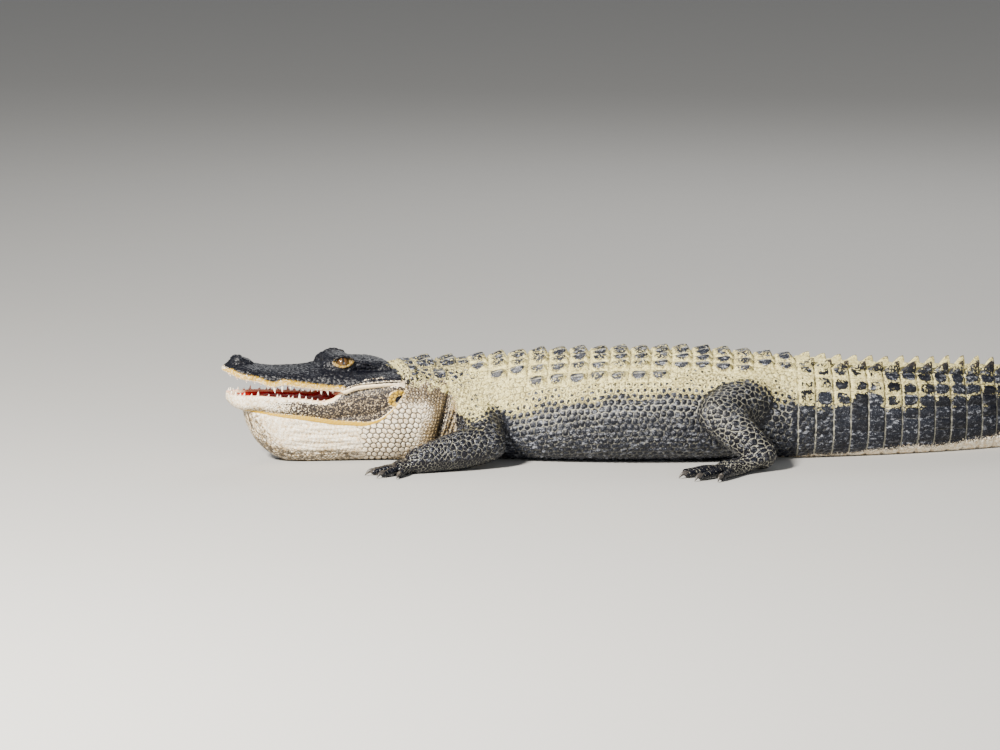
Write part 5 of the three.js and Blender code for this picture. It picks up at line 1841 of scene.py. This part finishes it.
def cut_skin(skin: Skin, rest: np.ndarray, normals: np.ndarray, chosen: np.ndarray, name: str,
             material: bpy.types.Material) -> bpy.types.Object:
    """Makes an object of some faces of the skin, shaded as part of the whole.

    Args:
        skin: The shaped skin.
        rest: Its points before the relief.
        normals: Normals of the shaped skin.
        chosen: Numbers of the faces.
        name: Name of the piece.
        material: Its finish.

    Returns:
        The object.
    """
    corners = skin.corners[chosen]
    used, local = np.unique(corners, return_inverse=True)
    local = local.reshape(corners.shape)
    quads = [tuple(dict.fromkeys(face)) for face in local.tolist()]
    mesh = bpy.data.meshes.new(name)
    mesh.from_pydata((skin.world[used] * MM).tolist(), [], quads)
    mesh.update()
    dress(mesh, material, {mark: np.clip(amount[used], 0, 1) for mark, amount in skin.marks.items()})
    flat_uv(mesh, rest[used], skin.normals[used])
    mesh.normals_split_custom_set_from_vertices(normals[used].tolist())
    return linked(name, mesh)


# Teeth, claws, eyes, tongue and crest


def finish_object(shells: Sequence[Shell], name: str, material: bpy.types.Material,
                  change: Callable[[np.ndarray], np.ndarray],
                  marks: dict[str, np.ndarray] | None = None) -> bpy.types.Object:
    """Makes one smooth-shaded object of several shells.

    Args:
        shells: Closed shells.
        name: Name of the piece.
        material: Its finish.
        change: Function that turns the shells' points into world millimetres.
        marks: Marks at the shells' points, by name.

    Returns:
        The object.
    """
    made = Shell.joined(shells).moved(change).facing_out().to_object(name)
    dress(made.data, material, marks)
    return made


@dataclass
class Teeth:
    """The teeth that the open mouth shows: for each its distance behind the snout's tip and its length."""

    head: HeadForm
    spine: Spine
    upper: tuple[tuple[float, float], ...] = (
        (9, 6), (21, 5.5), (38, 6), (52, 5.5), (65, 5), (77, 6.5), (89, 12), (104, 14), (119, 8), (132, 4.5),
        (142, 6), (150, 4.5), (159, 6), (169, 4.5), (177, 9.5), (188, 9), (198, 5),
    )
    lower: tuple[tuple[float, float], ...] = (
        (13, 7), (20, 8), (27, 6), (34, 7), (48, 5), (60, 9), (79, 5), (96, 7), (101, 5), (117, 5.5), (124, 5),
        (137, 10), (149, 6), (160, 5), (171, 4.5), (182, 4),
    )
    seed: int = 77
    buried: float = 6.0

    def tooth(self, u: float, v: float, z: float, length: float, way: int, number: float) -> Shell:
        """One curved, pointed tooth.

        Args:
            u: Distance behind the tip of the snout.
            v: Distance to the left of the middle.
            z: Height of the lip there.
            length: How far it stands out of the lip.
            way: 1 for a tooth that points up, -1 for one that points down.
            number: Chance from 0 to 1 that varies its lean.

        Returns:
            The tooth, as rows of s, v and z.
        """
        radius = 1.5 + 0.14 * length
        side = math.copysign(1, v)
        angle = np.linspace(0, 2 * np.pi, 12, endpoint=False)
        rings = []
        for t in np.linspace(0, 1, 9):
            r = max(radius * (1 - t**1.7) ** 0.75, 0.12)
            rise = t * (length + self.buried) - self.buried
            lean = side * (1.6 * t - 2.2 * t * t) + (number - 0.5) * 1.4 * t
            back = 1.2 * t * t + (number - 0.5) * 2.0 * t
            rings.append(np.stack([
                SNOUT_TIP + u + back + r * np.cos(angle), v + lean + 0.86 * r * np.sin(angle),
                np.full(len(angle), z + way * rise)], axis=1))
        return Shell.loft(np.array(rings))

    def shells(self, row: tuple[tuple[float, float], ...], way: int) -> list[Shell]:
        """All teeth of one jaw."""
        shells = []
        for k, (u, length) in enumerate(row):
            for side in SIDES:
                number = float(chance(np.array(k), side * way, self.seed))
                at = u + (0 if side > 0 else 3 * (number - 0.5))
                tall = length * (1 if side > 0 else 0.85 + 0.3 * number)
                shells.append(self.tooth(at, *self.root(at, side, way), tall, way, number))
        return shells

    def root(self, u: float, side: int, way: int) -> tuple[float, float]:
        """v and z of the lip's edge where a tooth stands."""
        if way > 0:
            half, lip, inset = self.head.lower_half(u), self.head.lower_lip(u), 5.2
        else:
            half, lip, inset = self.head.upper_half(u), self.head.upper_lip(u), 4.6
        return side * max(float(half) - inset, 2.0), float(lip)

    def gums(self, row: tuple[tuple[float, float], ...], way: int) -> list[Shell]:
        """A low fleshy collar round the root of each tooth."""
        shells = []
        for u, length in row:
            for side in SIDES:
                radius = 2.4 + 0.13 * length
                middle = (SNOUT_TIP + u, *self.root(u, side, way))
                shells.append(Shell.ellipsoid(middle, (radius, radius * 0.9, 2.0), None, 9, 14))
        return shells

    def build(self, enamel: bpy.types.Material, flesh: bpy.types.Material) -> list[bpy.types.Object]:
        """Upper teeth, lower teeth and the gums round them."""
        upper = finish_object(self.shells(self.upper, -1), "teeth_upper", enamel, self.spine.place)
        lower = finish_object(self.shells(self.lower, 1), "teeth_lower", enamel, self.spine.place)
        gums = finish_object(self.gums(self.upper, -1) + self.gums(self.lower, 1), "gums", flesh, self.spine.place)
        return [upper, lower, gums]


class Claws:
    """A claw on each of the inner three toes of every foot."""

    def shells(self, leg: Leg) -> list[Shell]:
        """Claws of one foot."""
        shells = []
        for toe in (toe for toe in leg.foot.toes if toe.claw):
            r = toe.radius
            stops = ((-5, r - 0.5, 0.5), (2, r + 1.6, 0.62), (7, r + 1.6, 0.5), (12, r - 1.0, 0.32), (17, 1.0, 0.08))
            places = [leg.toe_point(toe, toe.length + far, z) for far, z, _ in stops]
            shells.append(Shell.tube(places, [r * stop[2] for stop in stops], 14, 1.15, 4))
        return shells

    def build(self, material: bpy.types.Material) -> bpy.types.Object:
        """All claws as one piece, flat where they meet the floor."""
        shells = [shell for leg in LEGS for shell in self.shells(leg)]
        return finish_object(shells, "claws", material, lambda points: np.maximum(points, [-FAR, -FAR, 0.0]))


@dataclass
class Eyes:
    """The two eyeballs."""

    eye: Eye
    spine: Spine
    head: HeadForm

    def build(self, side: int, name: str, material: bpy.types.Material) -> bpy.types.Object:
        """One eyeball whose points know how far they lie from the way it looks.

        Args:
            side: 1 for the left eye, -1 for the right.
            name: Name of the piece.
            material: Its finish.

        Returns:
            The eyeball.
        """
        mass = HeadMass(self.head, self.eye)
        middle = mass.eye_place(side, 0)
        ball = Shell.ellipsoid((0, 0, 0), (1, 1, 1), None, 48, 72)
        unit = ball.points
        gaze = mass.eye_place(side, 1) - middle
        ahead = np.array([1.0, 0, 0])
        up = np.cross(ahead, gaze) * side
        along, high, out = unit @ ahead, unit @ up, unit @ gaze
        bulge = 1 + 0.045 * ease(0.72, 0.93, out)
        made = Shell(unit * self.eye.radius * bulge[:, None] + middle, ball.faces).moved(self.spine.place)
        made = made.turned().to_object(name)
        dress(made.data, material, {"along": along, "high": high, "out": out})
        return made


@dataclass
class Tongue:
    """The tongue in the floor of the mouth."""

    head: HeadForm
    spine: Spine

    def build(self, material: bpy.types.Material) -> bpy.types.Object:
        """A low, lumpy tongue."""
        rings = []
        front, back, tip_radius, inset = 60, 202, 40, 18
        for u in spread(front, back, 2.5):
            tip = float(self.head.nose(u - front, tip_radius))
            lip = float(self.head.lower_lip(min(u, 196)))
            edge = lip - 9
            ring = section(u, (float(self.head.jaw_half(u)) - inset) * tip, lip - 4.5, edge, lip - 20, 2.2, 72)
            ring[:, 2] += 0.7 * np.sin(u / 3.3 + ring[:, 1] / 5) * (ring[:, 2] > edge)
            ring[:, 2] -= 1.6 * bell(ring[:, 1], 3.0) * (ring[:, 2] > edge)
            rings.append(ring)
        return finish_object([Shell.loft(np.array(rings))], "tongue_flesh", material, self.spine.place)


@dataclass
class Crest:
    """Upright plates of the tail: two rows that close up into one."""

    sections: SectionTable
    spine: Spine
    seed: int = 19
    lean: float = 0.16
    thick_double: float = 13.0
    thick_single: float = 7.0

    def plate(self, s: float, arc: float, length: float, height: float, thick: float, number: float) -> Shell:
        """One upright plate, thick at its root, thin and swept back at its edge.

        Args:
            s: Its middle along the spine.
            arc: Its middle round the back, positive to the left.
            length: Its length.
            height: Its height.
            thick: Its thickness at the root.
            number: Chance from 0 to 1 that varies its shape.

        Returns:
            The plate, as rows of s, v and z.
        """
        v0, z0 = self.sections.on_body(s, arc)
        side = math.copysign(1, arc) if arc else 0
        lean = self.lean * side + 0.08 * (number - 0.5)
        rise = np.array([-9, -4, 0, 0.2, 0.4, 0.6, 0.78, 0.9, 0.97, 1.0])
        up = np.clip(rise, 0, 1)
        rings = []
        for t in np.linspace(0, 1, 25):
            along = t - 0.5
            top = 0.30 + 0.70 * float(ease(-0.55, 0.36, np.array(along)))
            top *= float(ease(0.5, 0.43, np.array(along))) * 0.8 + 0.2
            top *= float(ease(-0.5, -0.42, np.array(along))) * 0.6 + 0.4
            h = np.where(rise > 0, rise * height * top, rise)
            width = thick * (1 - 0.86 * up**0.8) * (0.55 + 0.45 * math.sin(math.pi * min(t + 0.08, 1)))
            width[-1] *= 0.3
            back = s + along * length + 0.12 * length * up**1.4
            left, right = (np.stack([back, v0 + lean * h + way * width / 2, z0 + h], axis=1) for way in SIDES)
            rings.append(np.vstack([left, right[::-1]]))
        return Shell.loft(np.array(rings))

    def build(self, first: float, last: float, name: str, material: bpy.types.Material) -> bpy.types.Object:
        """Plates between two places along the tail.

        Args:
            first: Where they begin.
            last: Where they end.
            name: Name of the piece.
            material: Its finish.

        Returns:
            The object, with its colour marks.
        """
        shells, peaks, inners = [], [], []
        for k in range(DOUBLE_ROWS + SINGLE_ROWS):
            double = k < DOUBLE_ROWS
            pitch = TAIL_PITCH if double else SINGLE_PITCH
            s = VENT + pitch * (k + 0.5) if double else SINGLE_START + pitch * (k - DOUBLE_ROWS + 0.5)
            if not first <= s < last:
                continue
            for side in (SIDES if double else (0,)):
                number = float(chance(np.array(k), side, self.seed))
                height = float(CREST_HEIGHT(s)) * (0.92 + 0.16 * number)
                thick = self.thick_double if double else self.thick_single
                arc = side * float(CREST_OFFSET(s))
                shell = self.plate(s, arc, 0.97 * pitch, height, thick, number)
                shells.append(shell)
                v0, z0 = self.sections.on_body(s, arc)
                rise = shell.points[:, 2] - z0
                peaks.append(np.clip(rise / height, 0, 1))
                inners.append((side * (shell.points[:, 1] - v0 - self.lean * side * rise) < -0.3).astype(float))
        share, inner = np.concatenate(peaks), np.concatenate(inners)
        points = np.vstack([shell.points for shell in shells])
        blot = ripple(points, 16, 5) + 0.6 * ripple(points, 7, 6)
        coat = np.where(inner > 0.5, 0.85, 0.30 + 0.22 * ease(650, 350, points[:, 0])) + 0.2 * blot
        marks = {name: np.zeros(len(share)) for name in MARKS}
        marks |= {"dark": np.ones(len(share)), "coat": coat, "tint": 0.35 + 0.3 * blot,
                  # edge here is a painted highlight line along the top of each plate.
                  "edge": ease(0.84, 0.98, share), "net": np.ones(len(share)),
                  "grey": 0.5 * (1 - inner) * ease(0.2, 0.7, share)}
        marks = {key: np.clip(value, 0, 1) for key, value in marks.items()}
        return finish_object(shells, name, material, self.spine.place, marks)


# Finishes


class Shade:
    """A number in a material's nodes; arithmetic on it adds Math nodes."""

    def __init__(self, nodes: "Palette", socket: bpy.types.NodeSocket | float) -> None:
        """Wraps a socket of the node tree."""
        self.nodes = nodes
        self.socket = socket

    def math(self, operation: str, *others: "Shade | float") -> "Shade":
        """Adds a Math node that starts from this number."""
        return self.nodes.number(self.nodes.add("ShaderNodeMath", {"operation": operation}, [self, *others]))

    def __add__(self, other: "Shade | float") -> "Shade":
        """Sum."""
        return self.math("ADD", other)

    __radd__ = __add__

    def __sub__(self, other: "Shade | float") -> "Shade":
        """Difference."""
        return self.math("SUBTRACT", other)

    def __rsub__(self, other: float) -> "Shade":
        """Difference from a plain number."""
        return self.nodes.number(self.nodes.add("ShaderNodeMath", {"operation": "SUBTRACT"}, [other, self]))

    def __mul__(self, other: "Shade | float") -> "Shade":
        """Product."""
        return self.math("MULTIPLY", other)

    __rmul__ = __mul__

    def __truediv__(self, other: "Shade | float") -> "Shade":
        """Quotient."""
        return self.math("DIVIDE", other)

    def larger(self, other: "Shade | float") -> "Shade":
        """The larger of two numbers."""
        return self.math("MAXIMUM", other)

    def ease(self, low: float, high: float) -> "Shade":
        """Smooth step from 0 at low to 1 at high."""
        ends = (0.0, 1.0) if low < high else (1.0, 0.0)
        return self.nodes.number(self.nodes.add(
            "ShaderNodeMapRange", {"interpolation_type": "SMOOTHSTEP", "clamp": True},
            {"Value": self, "From Min": min(low, high), "From Max": max(low, high), "To Min": ends[0],
             "To Max": ends[1]}))


Colour = tuple[float, float, float]


class Palette:
    """The node tree of one material."""

    def __init__(self, name: str) -> None:
        """Starts a material with an empty tree."""
        self.material = bpy.data.materials.new(name)
        self.material.use_nodes = True
        self.tree = self.material.node_tree
        self.tree.nodes.clear()
        self.place = self.add("ShaderNodeTexCoord").outputs["Object"]

    def add(self, kind: str, settings: dict | None = None, inputs: dict | list | None = None) -> bpy.types.Node:
        """Adds a node.

        Args:
            kind: Its type.
            settings: Its properties, which are set first.
            inputs: Values or links of its sockets, by name or in order.

        Returns:
            The node.
        """
        node = self.tree.nodes.new(kind)
        for key, value in (settings or {}).items():
            setattr(node, key, value)
        pairs = enumerate(inputs) if isinstance(inputs, list) else (inputs or {}).items()
        for key, value in pairs:
            socket = node.inputs[key]
            if isinstance(value, Shade):
                value = value.socket
            if isinstance(value, bpy.types.NodeSocket):
                self.tree.links.new(value, socket)
            elif isinstance(value, tuple) and socket.type == "RGBA":
                socket.default_value = (*value, 1.0)
            else:
                socket.default_value = value
        return node

    def number(self, node: bpy.types.Node) -> Shade:
        """The first output of a node as a number."""
        return Shade(self, node.outputs[0])

    def mark(self, name: str) -> Shade:
        """A mark that the mesh carries at its points."""
        return Shade(self, self.add("ShaderNodeAttribute", {"attribute_name": name}).outputs["Fac"])

    def noise(self, scale: float, detail: float = 4.0, roughness: float = 0.55,
              stretch: tuple[float, float, float] | None = None) -> Shade:
        """Noise over the surface from 0 to 1; scale is bumps to the metre."""
        vector = self.place
        if stretch:
            vector = self.add("ShaderNodeVectorMath", {"operation": "MULTIPLY"}, [vector, stretch]).outputs[0]
        return self.number(self.add("ShaderNodeTexNoise", {}, {
            "Vector": vector, "Scale": scale, "Detail": detail, "Roughness": roughness}))

    def cells(self, scale: float) -> Shade:
        """Distance from the middles of a cell pattern over the surface; scale is cells to the metre."""
        node = self.add("ShaderNodeTexVoronoi", {"feature": "F1"}, {"Vector": self.place, "Scale": scale})
        return Shade(self, node.outputs["Distance"])

    def mix(self, share: Shade | float, first: object, second: object) -> bpy.types.NodeSocket:
        """A colour between two."""
        settings = {"data_type": "RGBA", "blend_type": "MIX"}
        return self.add("ShaderNodeMix", settings, {0: share, 6: first, 7: second}).outputs[2]

    def bump(self, height: Shade, distance: float, strength: float) -> bpy.types.NodeSocket:
        """A normal bent by a height."""
        inputs = {"Height": height, "Distance": distance, "Strength": strength}
        return self.add("ShaderNodeBump", {}, inputs).outputs[0]

    def finish(self, **sockets: object) -> bpy.types.Material:
        """Ends the material in a Principled shader whose sockets are named with _ for each space."""
        inputs = {name.replace("_", " "): value for name, value in sockets.items()}
        shader = self.add("ShaderNodeBsdfPrincipled", {}, inputs)
        self.add("ShaderNodeOutputMaterial", {}, {"Surface": shader.outputs[0]})
        return self.material


@dataclass(frozen=True)
class HideFinish:
    """Scaly hide: dark above, cream below, with dried mud over the back. It also carries painted light: silvery
    painted glints on the dark scales, painted highlight lines on keel tops, crest tops and wrinkle crests, and
    painted shade in the crease behind the jowl, in the throat's fold troughs and in rims round the back's scute
    crowns.
    """

    black: Colour = (0.0018, 0.0022, 0.0048)
    slate: Colour = (0.0060, 0.0078, 0.0145)
    line: Colour = (0.33, 0.315, 0.25)
    # Painted glint: a silvery highlight colour mixed into the dark hide as specks and streaks.
    painted_glint: Colour = (0.33, 0.345, 0.39)
    cream: Colour = (0.62, 0.46, 0.26)
    white: Colour = (0.92, 0.85, 0.71)
    outline: Colour = (0.045, 0.034, 0.024)
    speckled: Colour = (0.32, 0.245, 0.15)
    brown: Colour = (0.022, 0.018, 0.017)
    yellow: Colour = (0.44, 0.255, 0.0)
    tan: Colour = (0.20, 0.128, 0.040)
    mud: Colour = (0.50, 0.415, 0.155)
    mud_pale: Colour = (0.92, 0.83, 0.41)
    mud_dark: Colour = (0.085, 0.070, 0.045)
    red: Colour = (0.75, 0.045, 0.028)
    deep_red: Colour = (0.42, 0.018, 0.012)
    gum: Colour = (0.86, 0.68, 0.42)

    def build(self) -> bpy.types.Material:
        """Makes the material."""
        p = Palette("hide")
        marks = {name: p.mark(name) for name in MARKS}
        fine, medium, broad = p.noise(620, 3), p.noise(170, 4), p.noise(34, 3)
        grit = p.noise(1250, 2)
        dots = 0.62 - p.cells(360) * 1.05 + 0.5 * (fine - 0.5)
        blots = p.noise(230, 3).ease(0.36, 0.64) - 0.5
        pale = p.mix((medium * 0.6 + fine * 0.4).ease(0.36, 0.62), self.cream, self.white)
        pale = p.mix((marks["tan"] + 0.6 * blots).ease(0.15, 0.9) * 0.9, pale, self.tan)
        hide = p.mix((marks["tint"] * 0.5 + medium * 0.7).ease(0.3, 0.95), self.black, self.slate)
        # Painted glints: silvery specks of highlight scattered over the dark hide.
        hide = p.mix((fine * 0.55 + grit * 0.45 + 0.06 * marks["tint"]).ease(0.60, 0.72) * 0.6, hide, self.painted_glint)
        # These streaks are striations in the bump below, and painted silvery highlight streaks in the colour here,
        # as strong as each scale's tone mark allows.
        streak = p.noise(170, 4, 0.6, (0.45, 1.3, 1.1))
        hide = p.mix((streak * 0.7 + fine * 0.3).ease(0.54, 0.61) * marks["tint"] * 0.85, hide, self.painted_glint)
        # net draws the lines between scales, and also the painted highlight lines that the edge mark lays on keel
        # tops, crest tops and wrinkle crests.
        net = (marks["edge"] * marks["net"] * (0.7 + 0.6 * medium) + 0.22 * blots).ease(0.22, 0.75)
        hide = p.mix(net * 0.85, hide, self.line)
        base = p.mix((marks["dark"] + 0.75 * dots).ease(0.42, 0.58), pale, hide)
        skin = p.mix((dots + 0.35 * blots).ease(-0.30, 0.06), self.speckled, self.brown)
        base = p.mix((marks["grey"] * 0.86 + 1.1 * dots).ease(0.30, 0.62), base, skin)
        base = p.mix((marks["yellow"] + 0.35 * dots).ease(0.2, 0.65) * 0.96, base, self.yellow)
        base = p.mix((marks["tile"] + 0.3 * dots).ease(0.22, 0.7) * (1 - marks["dark"]) * 0.92, base, self.outline)
        coat = (marks["coat"] * 0.88 + 0.34 * (broad - 0.5) + 0.30 * blots - 0.26 * dots).ease(0.40, 0.52)
        mud = p.mix((fine * 0.5 + medium * 0.5).ease(0.40, 0.60), self.mud, self.mud_pale)
        # The edge mark darkens the mud along joints, and as painted shadow rims round the scute crowns.
        pits = (marks["edge"] * 0.9 + 0.7 * blots + 0.9 * dots - 0.05).larger(0.0) + (grit - 0.5).ease(0.06, 0.16)
        mud = p.mix((pits + 0.9 * (broad - 0.5)).ease(0.16, 0.8) * 0.85, mud, self.mud_dark)
        base = p.mix(coat, base, mud)
        base = p.mix(marks["red"].ease(0.25, 0.6), base, p.mix(medium.ease(0.4, 0.65), self.deep_red, self.red))
        base = p.mix((marks["gum"] + 0.3 * dots).ease(0.2, 0.6), base, self.gum)
        rough = 0.36 + 0.22 * (medium - 0.5) + 0.46 * coat - 0.17 * marks["wet"] - 0.14 * marks["red"]
        height = fine * 0.35 + grit * 0.3 + medium * 0.3 + streak * marks["tint"] * 0.9
        height = height + coat * (grit * 1.1 + fine * 1.2 + 0.5)
        normal = p.bump(height, 0.0016, 0.6)
        return p.finish(Base_Color=base, Roughness=rough, Normal=normal, Specular_IOR_Level=0.25)


@dataclass(frozen=True)
class EnamelFinish:
    """Teeth: ivory with faint stains near the gum."""

    ivory: Colour = (0.86, 0.82, 0.70)
    stain: Colour = (0.62, 0.52, 0.34)

    def build(self) -> bpy.types.Material:
        """Makes the material."""
        p = Palette("enamel")
        streak = p.noise(420, 3, 0.6, (1.0, 1.0, 0.35))
        base = p.mix(streak.ease(0.45, 0.8) * 0.7, self.ivory, self.stain)
        return p.finish(Base_Color=base, Roughness=0.18 + 0.2 * streak, Normal=p.bump(streak, 0.0004, 0.4))


@dataclass(frozen=True)
class ClawFinish:
    """Claws: dark horn, paler and worn at the tip."""

    horn: Colour = (0.030, 0.026, 0.024)
    worn: Colour = (0.20, 0.17, 0.13)

    def build(self) -> bpy.types.Material:
        """Makes the material."""
        p = Palette("claw_horn")
        streak = p.noise(300, 4, 0.6, (0.4, 0.4, 1.6))
        base = p.mix(streak.ease(0.5, 0.75), self.horn, self.worn)
        return p.finish(Base_Color=base, Roughness=0.3 + 0.2 * streak, Normal=p.bump(streak, 0.0006, 0.5))


@dataclass(frozen=True)
class MouthFinish:
    """Wet flesh of the tongue or gums."""

    name: str
    deep: Colour
    light: Colour

    def build(self) -> bpy.types.Material:
        """Makes the material."""
        p = Palette(self.name)
        blotch, fine = p.noise(90, 4), p.noise(650, 3)
        base = p.mix((blotch * 0.7 + fine * 0.3).ease(0.38, 0.66), self.deep, self.light)
        return p.finish(Base_Color=base, Roughness=0.28 + 0.2 * fine, Normal=p.bump(fine, 0.0008, 0.6))


@dataclass(frozen=True)
class EyeFinish:
    """Brown-gold iris with an upright slit, under a wet, clear surface."""

    gold: Colour = (0.115, 0.056, 0.012)
    brown: Colour = (0.024, 0.011, 0.005)
    dark: Colour = (0.010, 0.008, 0.007)

    def build(self) -> bpy.types.Material:
        """Makes the material."""
        p = Palette("eyeball")
        along, high, out = p.mark("along"), p.mark("high"), p.mark("out")
        far = (along * along + high * high).math("SQRT")
        vein = p.noise(900, 4)
        iris = p.mix((vein + 0.35 * (1 - far)).ease(0.45, 0.95), self.brown, self.gold)
        slit = (along.math("ABSOLUTE") / (0.15 - 0.20 * high * high).larger(0.001)).ease(1.25, 0.75)
        iris = p.mix(slit * out.ease(0.0, 0.2), iris, self.dark)
        rim = far.ease(0.66, 0.84).larger(1 - out.ease(0.0, 0.1))
        base = p.mix(rim, iris, p.mix(vein, self.dark, self.brown))
        return p.finish(Base_Color=base, Roughness=0.06 + 0.03 * vein, Coat_Weight=0.6, Coat_Roughness=0.03)


@dataclass(frozen=True)
class FloorFinish:
    """Plain pale floor."""

    pale: Colour = (0.42, 0.415, 0.405)
    worn: Colour = (0.37, 0.365, 0.36)

    def build(self) -> bpy.types.Material:
        """Makes the material."""
        p = Palette("studio_floor")
        grain = p.noise(14, 3)
        base = p.mix(grain * 0.12, self.pale, self.worn)
        return p.finish(Base_Color=base, Roughness=0.75 + 0.1 * grain)


# Studio


@dataclass(frozen=True)
class Lamp:
    """A soft round light: its place and size in metres, its watts and its colour."""

    name: str
    place: tuple[float, float, float]
    size: float
    power: float
    colour: Colour

    def build(self, target: Vector) -> None:
        """Adds the light, pointed at the target."""
        data = bpy.data.lights.new(self.name, "AREA")
        data.shape = "DISK"
        data.size = self.size
        data.energy = self.power
        data.color = self.colour
        made = linked(self.name, data)
        made.location = self.place
        made.rotation_euler = (target - Vector(self.place)).to_track_quat("-Z", "Y").to_euler()


@dataclass(frozen=True)
class Studio:
    """Camera, soft lights and a pale floor."""

    elevation: float = 9.0
    distance: float = 10.6
    lens: float = 200.0
    sensor: float = 36.0
    target: tuple[float, float, float] = (-0.228, 0.0, 0.15)
    lit: tuple[float, float, float] = (0.0, 0.0, 0.1)
    lamps: tuple[Lamp, ...] = (
        Lamp("key", (-2.4, -3.4, 2.9), 0.8, 980, (1.0, 0.955, 0.87)),
        Lamp("fill", (2.6, -4.2, 1.0), 2.4, 70, (0.94, 0.97, 1.0)),
        Lamp("back", (0.6, 4.0, 3.2), 2.5, 70, (1.0, 1.0, 1.0)),
    )
    sky: Colour = (0.86, 0.88, 0.90)
    sky_strength: float = 0.33
    floor_reach: float = 80.0
    floor_drop: float = 0.0005

    def camera(self) -> None:
        """Sets the camera at the photograph's viewing angle."""
        data = bpy.data.cameras.new("photo_camera")
        data.lens = self.lens
        data.sensor_width = self.sensor
        made = linked("photo_camera", data)
        tilt = math.radians(self.elevation)
        away = Vector((0.0, -math.cos(tilt), math.sin(tilt))) * self.distance
        made.location = Vector(self.target) + away
        made.rotation_euler = (-away).to_track_quat("-Z", "Y").to_euler()
        bpy.context.scene.camera = made

    def build(self) -> None:
        """Lights, world and floor."""
        for lamp in self.lamps:
            lamp.build(Vector(self.lit))
        world = bpy.data.worlds.new("soft_room")
        world.use_nodes = True
        backdrop = world.node_tree.nodes["Background"]
        backdrop.inputs["Color"].default_value = (*self.sky, 1)
        backdrop.inputs["Strength"].default_value = self.sky_strength
        bpy.context.scene.world = world
        mesh = bpy.data.meshes.new("floor")
        r = self.floor_reach
        mesh.from_pydata([(-r, -r, 0), (r, -r, 0), (r, r, 0), (-r, r, 0)], [], [(0, 1, 2, 3)])
        mesh.materials.append(FloorFinish().build())
        floor = linked("floor", mesh)
        floor.location.z = -self.floor_drop


# The whole model


def settle(piece: bpy.types.Object, slot: Slot, *nodes: str) -> None:
    """Makes a piece ride on the model and hides the solids that it stands for."""
    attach(piece, "root")
    if nodes:
        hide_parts(*nodes)
    log.info("%s: %d faces", piece.name, len(piece.data.polygons))


def skin_pieces(skin: Skin, rest: np.ndarray, head: HeadForm, material: bpy.types.Material) -> None:
    """Cuts the skin into pieces at lines that its shading hides.

    Args:
        skin: The shaped skin.
        rest: Its points before the relief.
        head: Outlines of the head.
        material: The hide's finish.
    """
    normals = point_normals(skin.world, skin.corners)
    s, z, leg, along_leg = (
        values[skin.corners].mean(axis=1) for values in (skin.s, skin.z, skin.leg, skin.along_leg)
    )
    u = s - SNOUT_TIP
    head_end, middle, lip_overlap = -432, 20, 6
    on_leg = leg > 0.5
    is_head = ~on_leg & (s < head_end)
    is_jaw = is_head & (z < head.upper_lip(u) - lip_overlap)
    groups = [
        (SkinPiece("skin_head", Slot.HEAD, ("head",)), is_head & ~is_jaw),
        (SkinPiece("skin_jaw", Slot.JAW, ("lower_jaw",)), is_jaw & (z >= JAW_LINE(u))),
        (SkinPiece("skin_throat", Slot.JAW, ("lower_jaw",)), is_jaw & (z < JAW_LINE(u))),
    ]
    for name, nodes, start, end in (
        ("skin_neck", ("neck",), head_end, TORSO_START),
        ("skin_torso_front", ("torso",), TORSO_START, middle),
        ("skin_torso_rear", ("torso",), middle, VENT),
        ("skin_tail_base", ("tail_base",), VENT, TAIL_BASE_END),
        ("skin_tail", ("tail_middle", "tail_end"), TAIL_BASE_END, FAR),
    ):
        groups.append((SkinPiece(name, Slot.BACK, nodes), ~on_leg & (s >= start) & (s < end)))
    for k, form in enumerate(LEGS):
        is_this = on_leg & (along_leg // LEG_STEP == k)
        groups.append((SkinPiece(f"skin_{form.name}", Slot.LEG, form.nodes), is_this))
    for piece, chosen in groups:
        made = cut_skin(skin, rest, normals, np.flatnonzero(chosen), piece.name, material)
        settle(made, piece.slot, *piece.nodes)


def main() -> None:
    """Builds the model piece by piece."""
    studio = Studio()
    studio.camera()
    spine, body, head, eye = Spine(), BodyForm(), HeadForm(), Eye()
    sections = SectionTable(body, head)
    coarse, fine = 3.0, 2.2
    skin = Hide(spine, body, head, eye, Warp(), sections, fine).draw()
    rest = skin.world.copy()
    Relief(head, eye).apply(skin)
    log.info("skin: %d points", len(rest))
    material = HideFinish().build()
    skin_pieces(skin, rest, head, material)
    enamel = EnamelFinish().build()
    gums = MouthFinish("gum_flesh", (0.62, 0.36, 0.27), (0.84, 0.66, 0.52)).build()
    for piece in Teeth(head, spine).build(enamel, gums):
        settle(piece, Slot.JAW if "lower" in piece.name else Slot.HEAD)
    settle(Claws().build(ClawFinish().build()), Slot.LEG)
    tongue_flesh = MouthFinish("tongue_flesh", (0.48, 0.03, 0.022), (0.66, 0.10, 0.07)).build()
    settle(Tongue(head, spine).build(tongue_flesh), Slot.MOUTH, "tongue")
    eyeball = EyeFinish().build()
    for side, name in zip(SIDES, ("eye_left", "eye_right")):
        settle(Eyes(eye, spine, head).build(side, f"{name}_ball", eyeball), Slot.EYE, name)
    crest = Crest(sections, spine)
    settle(crest.build(VENT, TAIL_BASE_END, "crest_base", material), Slot.BACK)
    settle(crest.build(TAIL_BASE_END, TAIL_TIP, "crest_tail", material), Slot.BACK)
    studio.build()


if __name__ == "__main__":
    main()
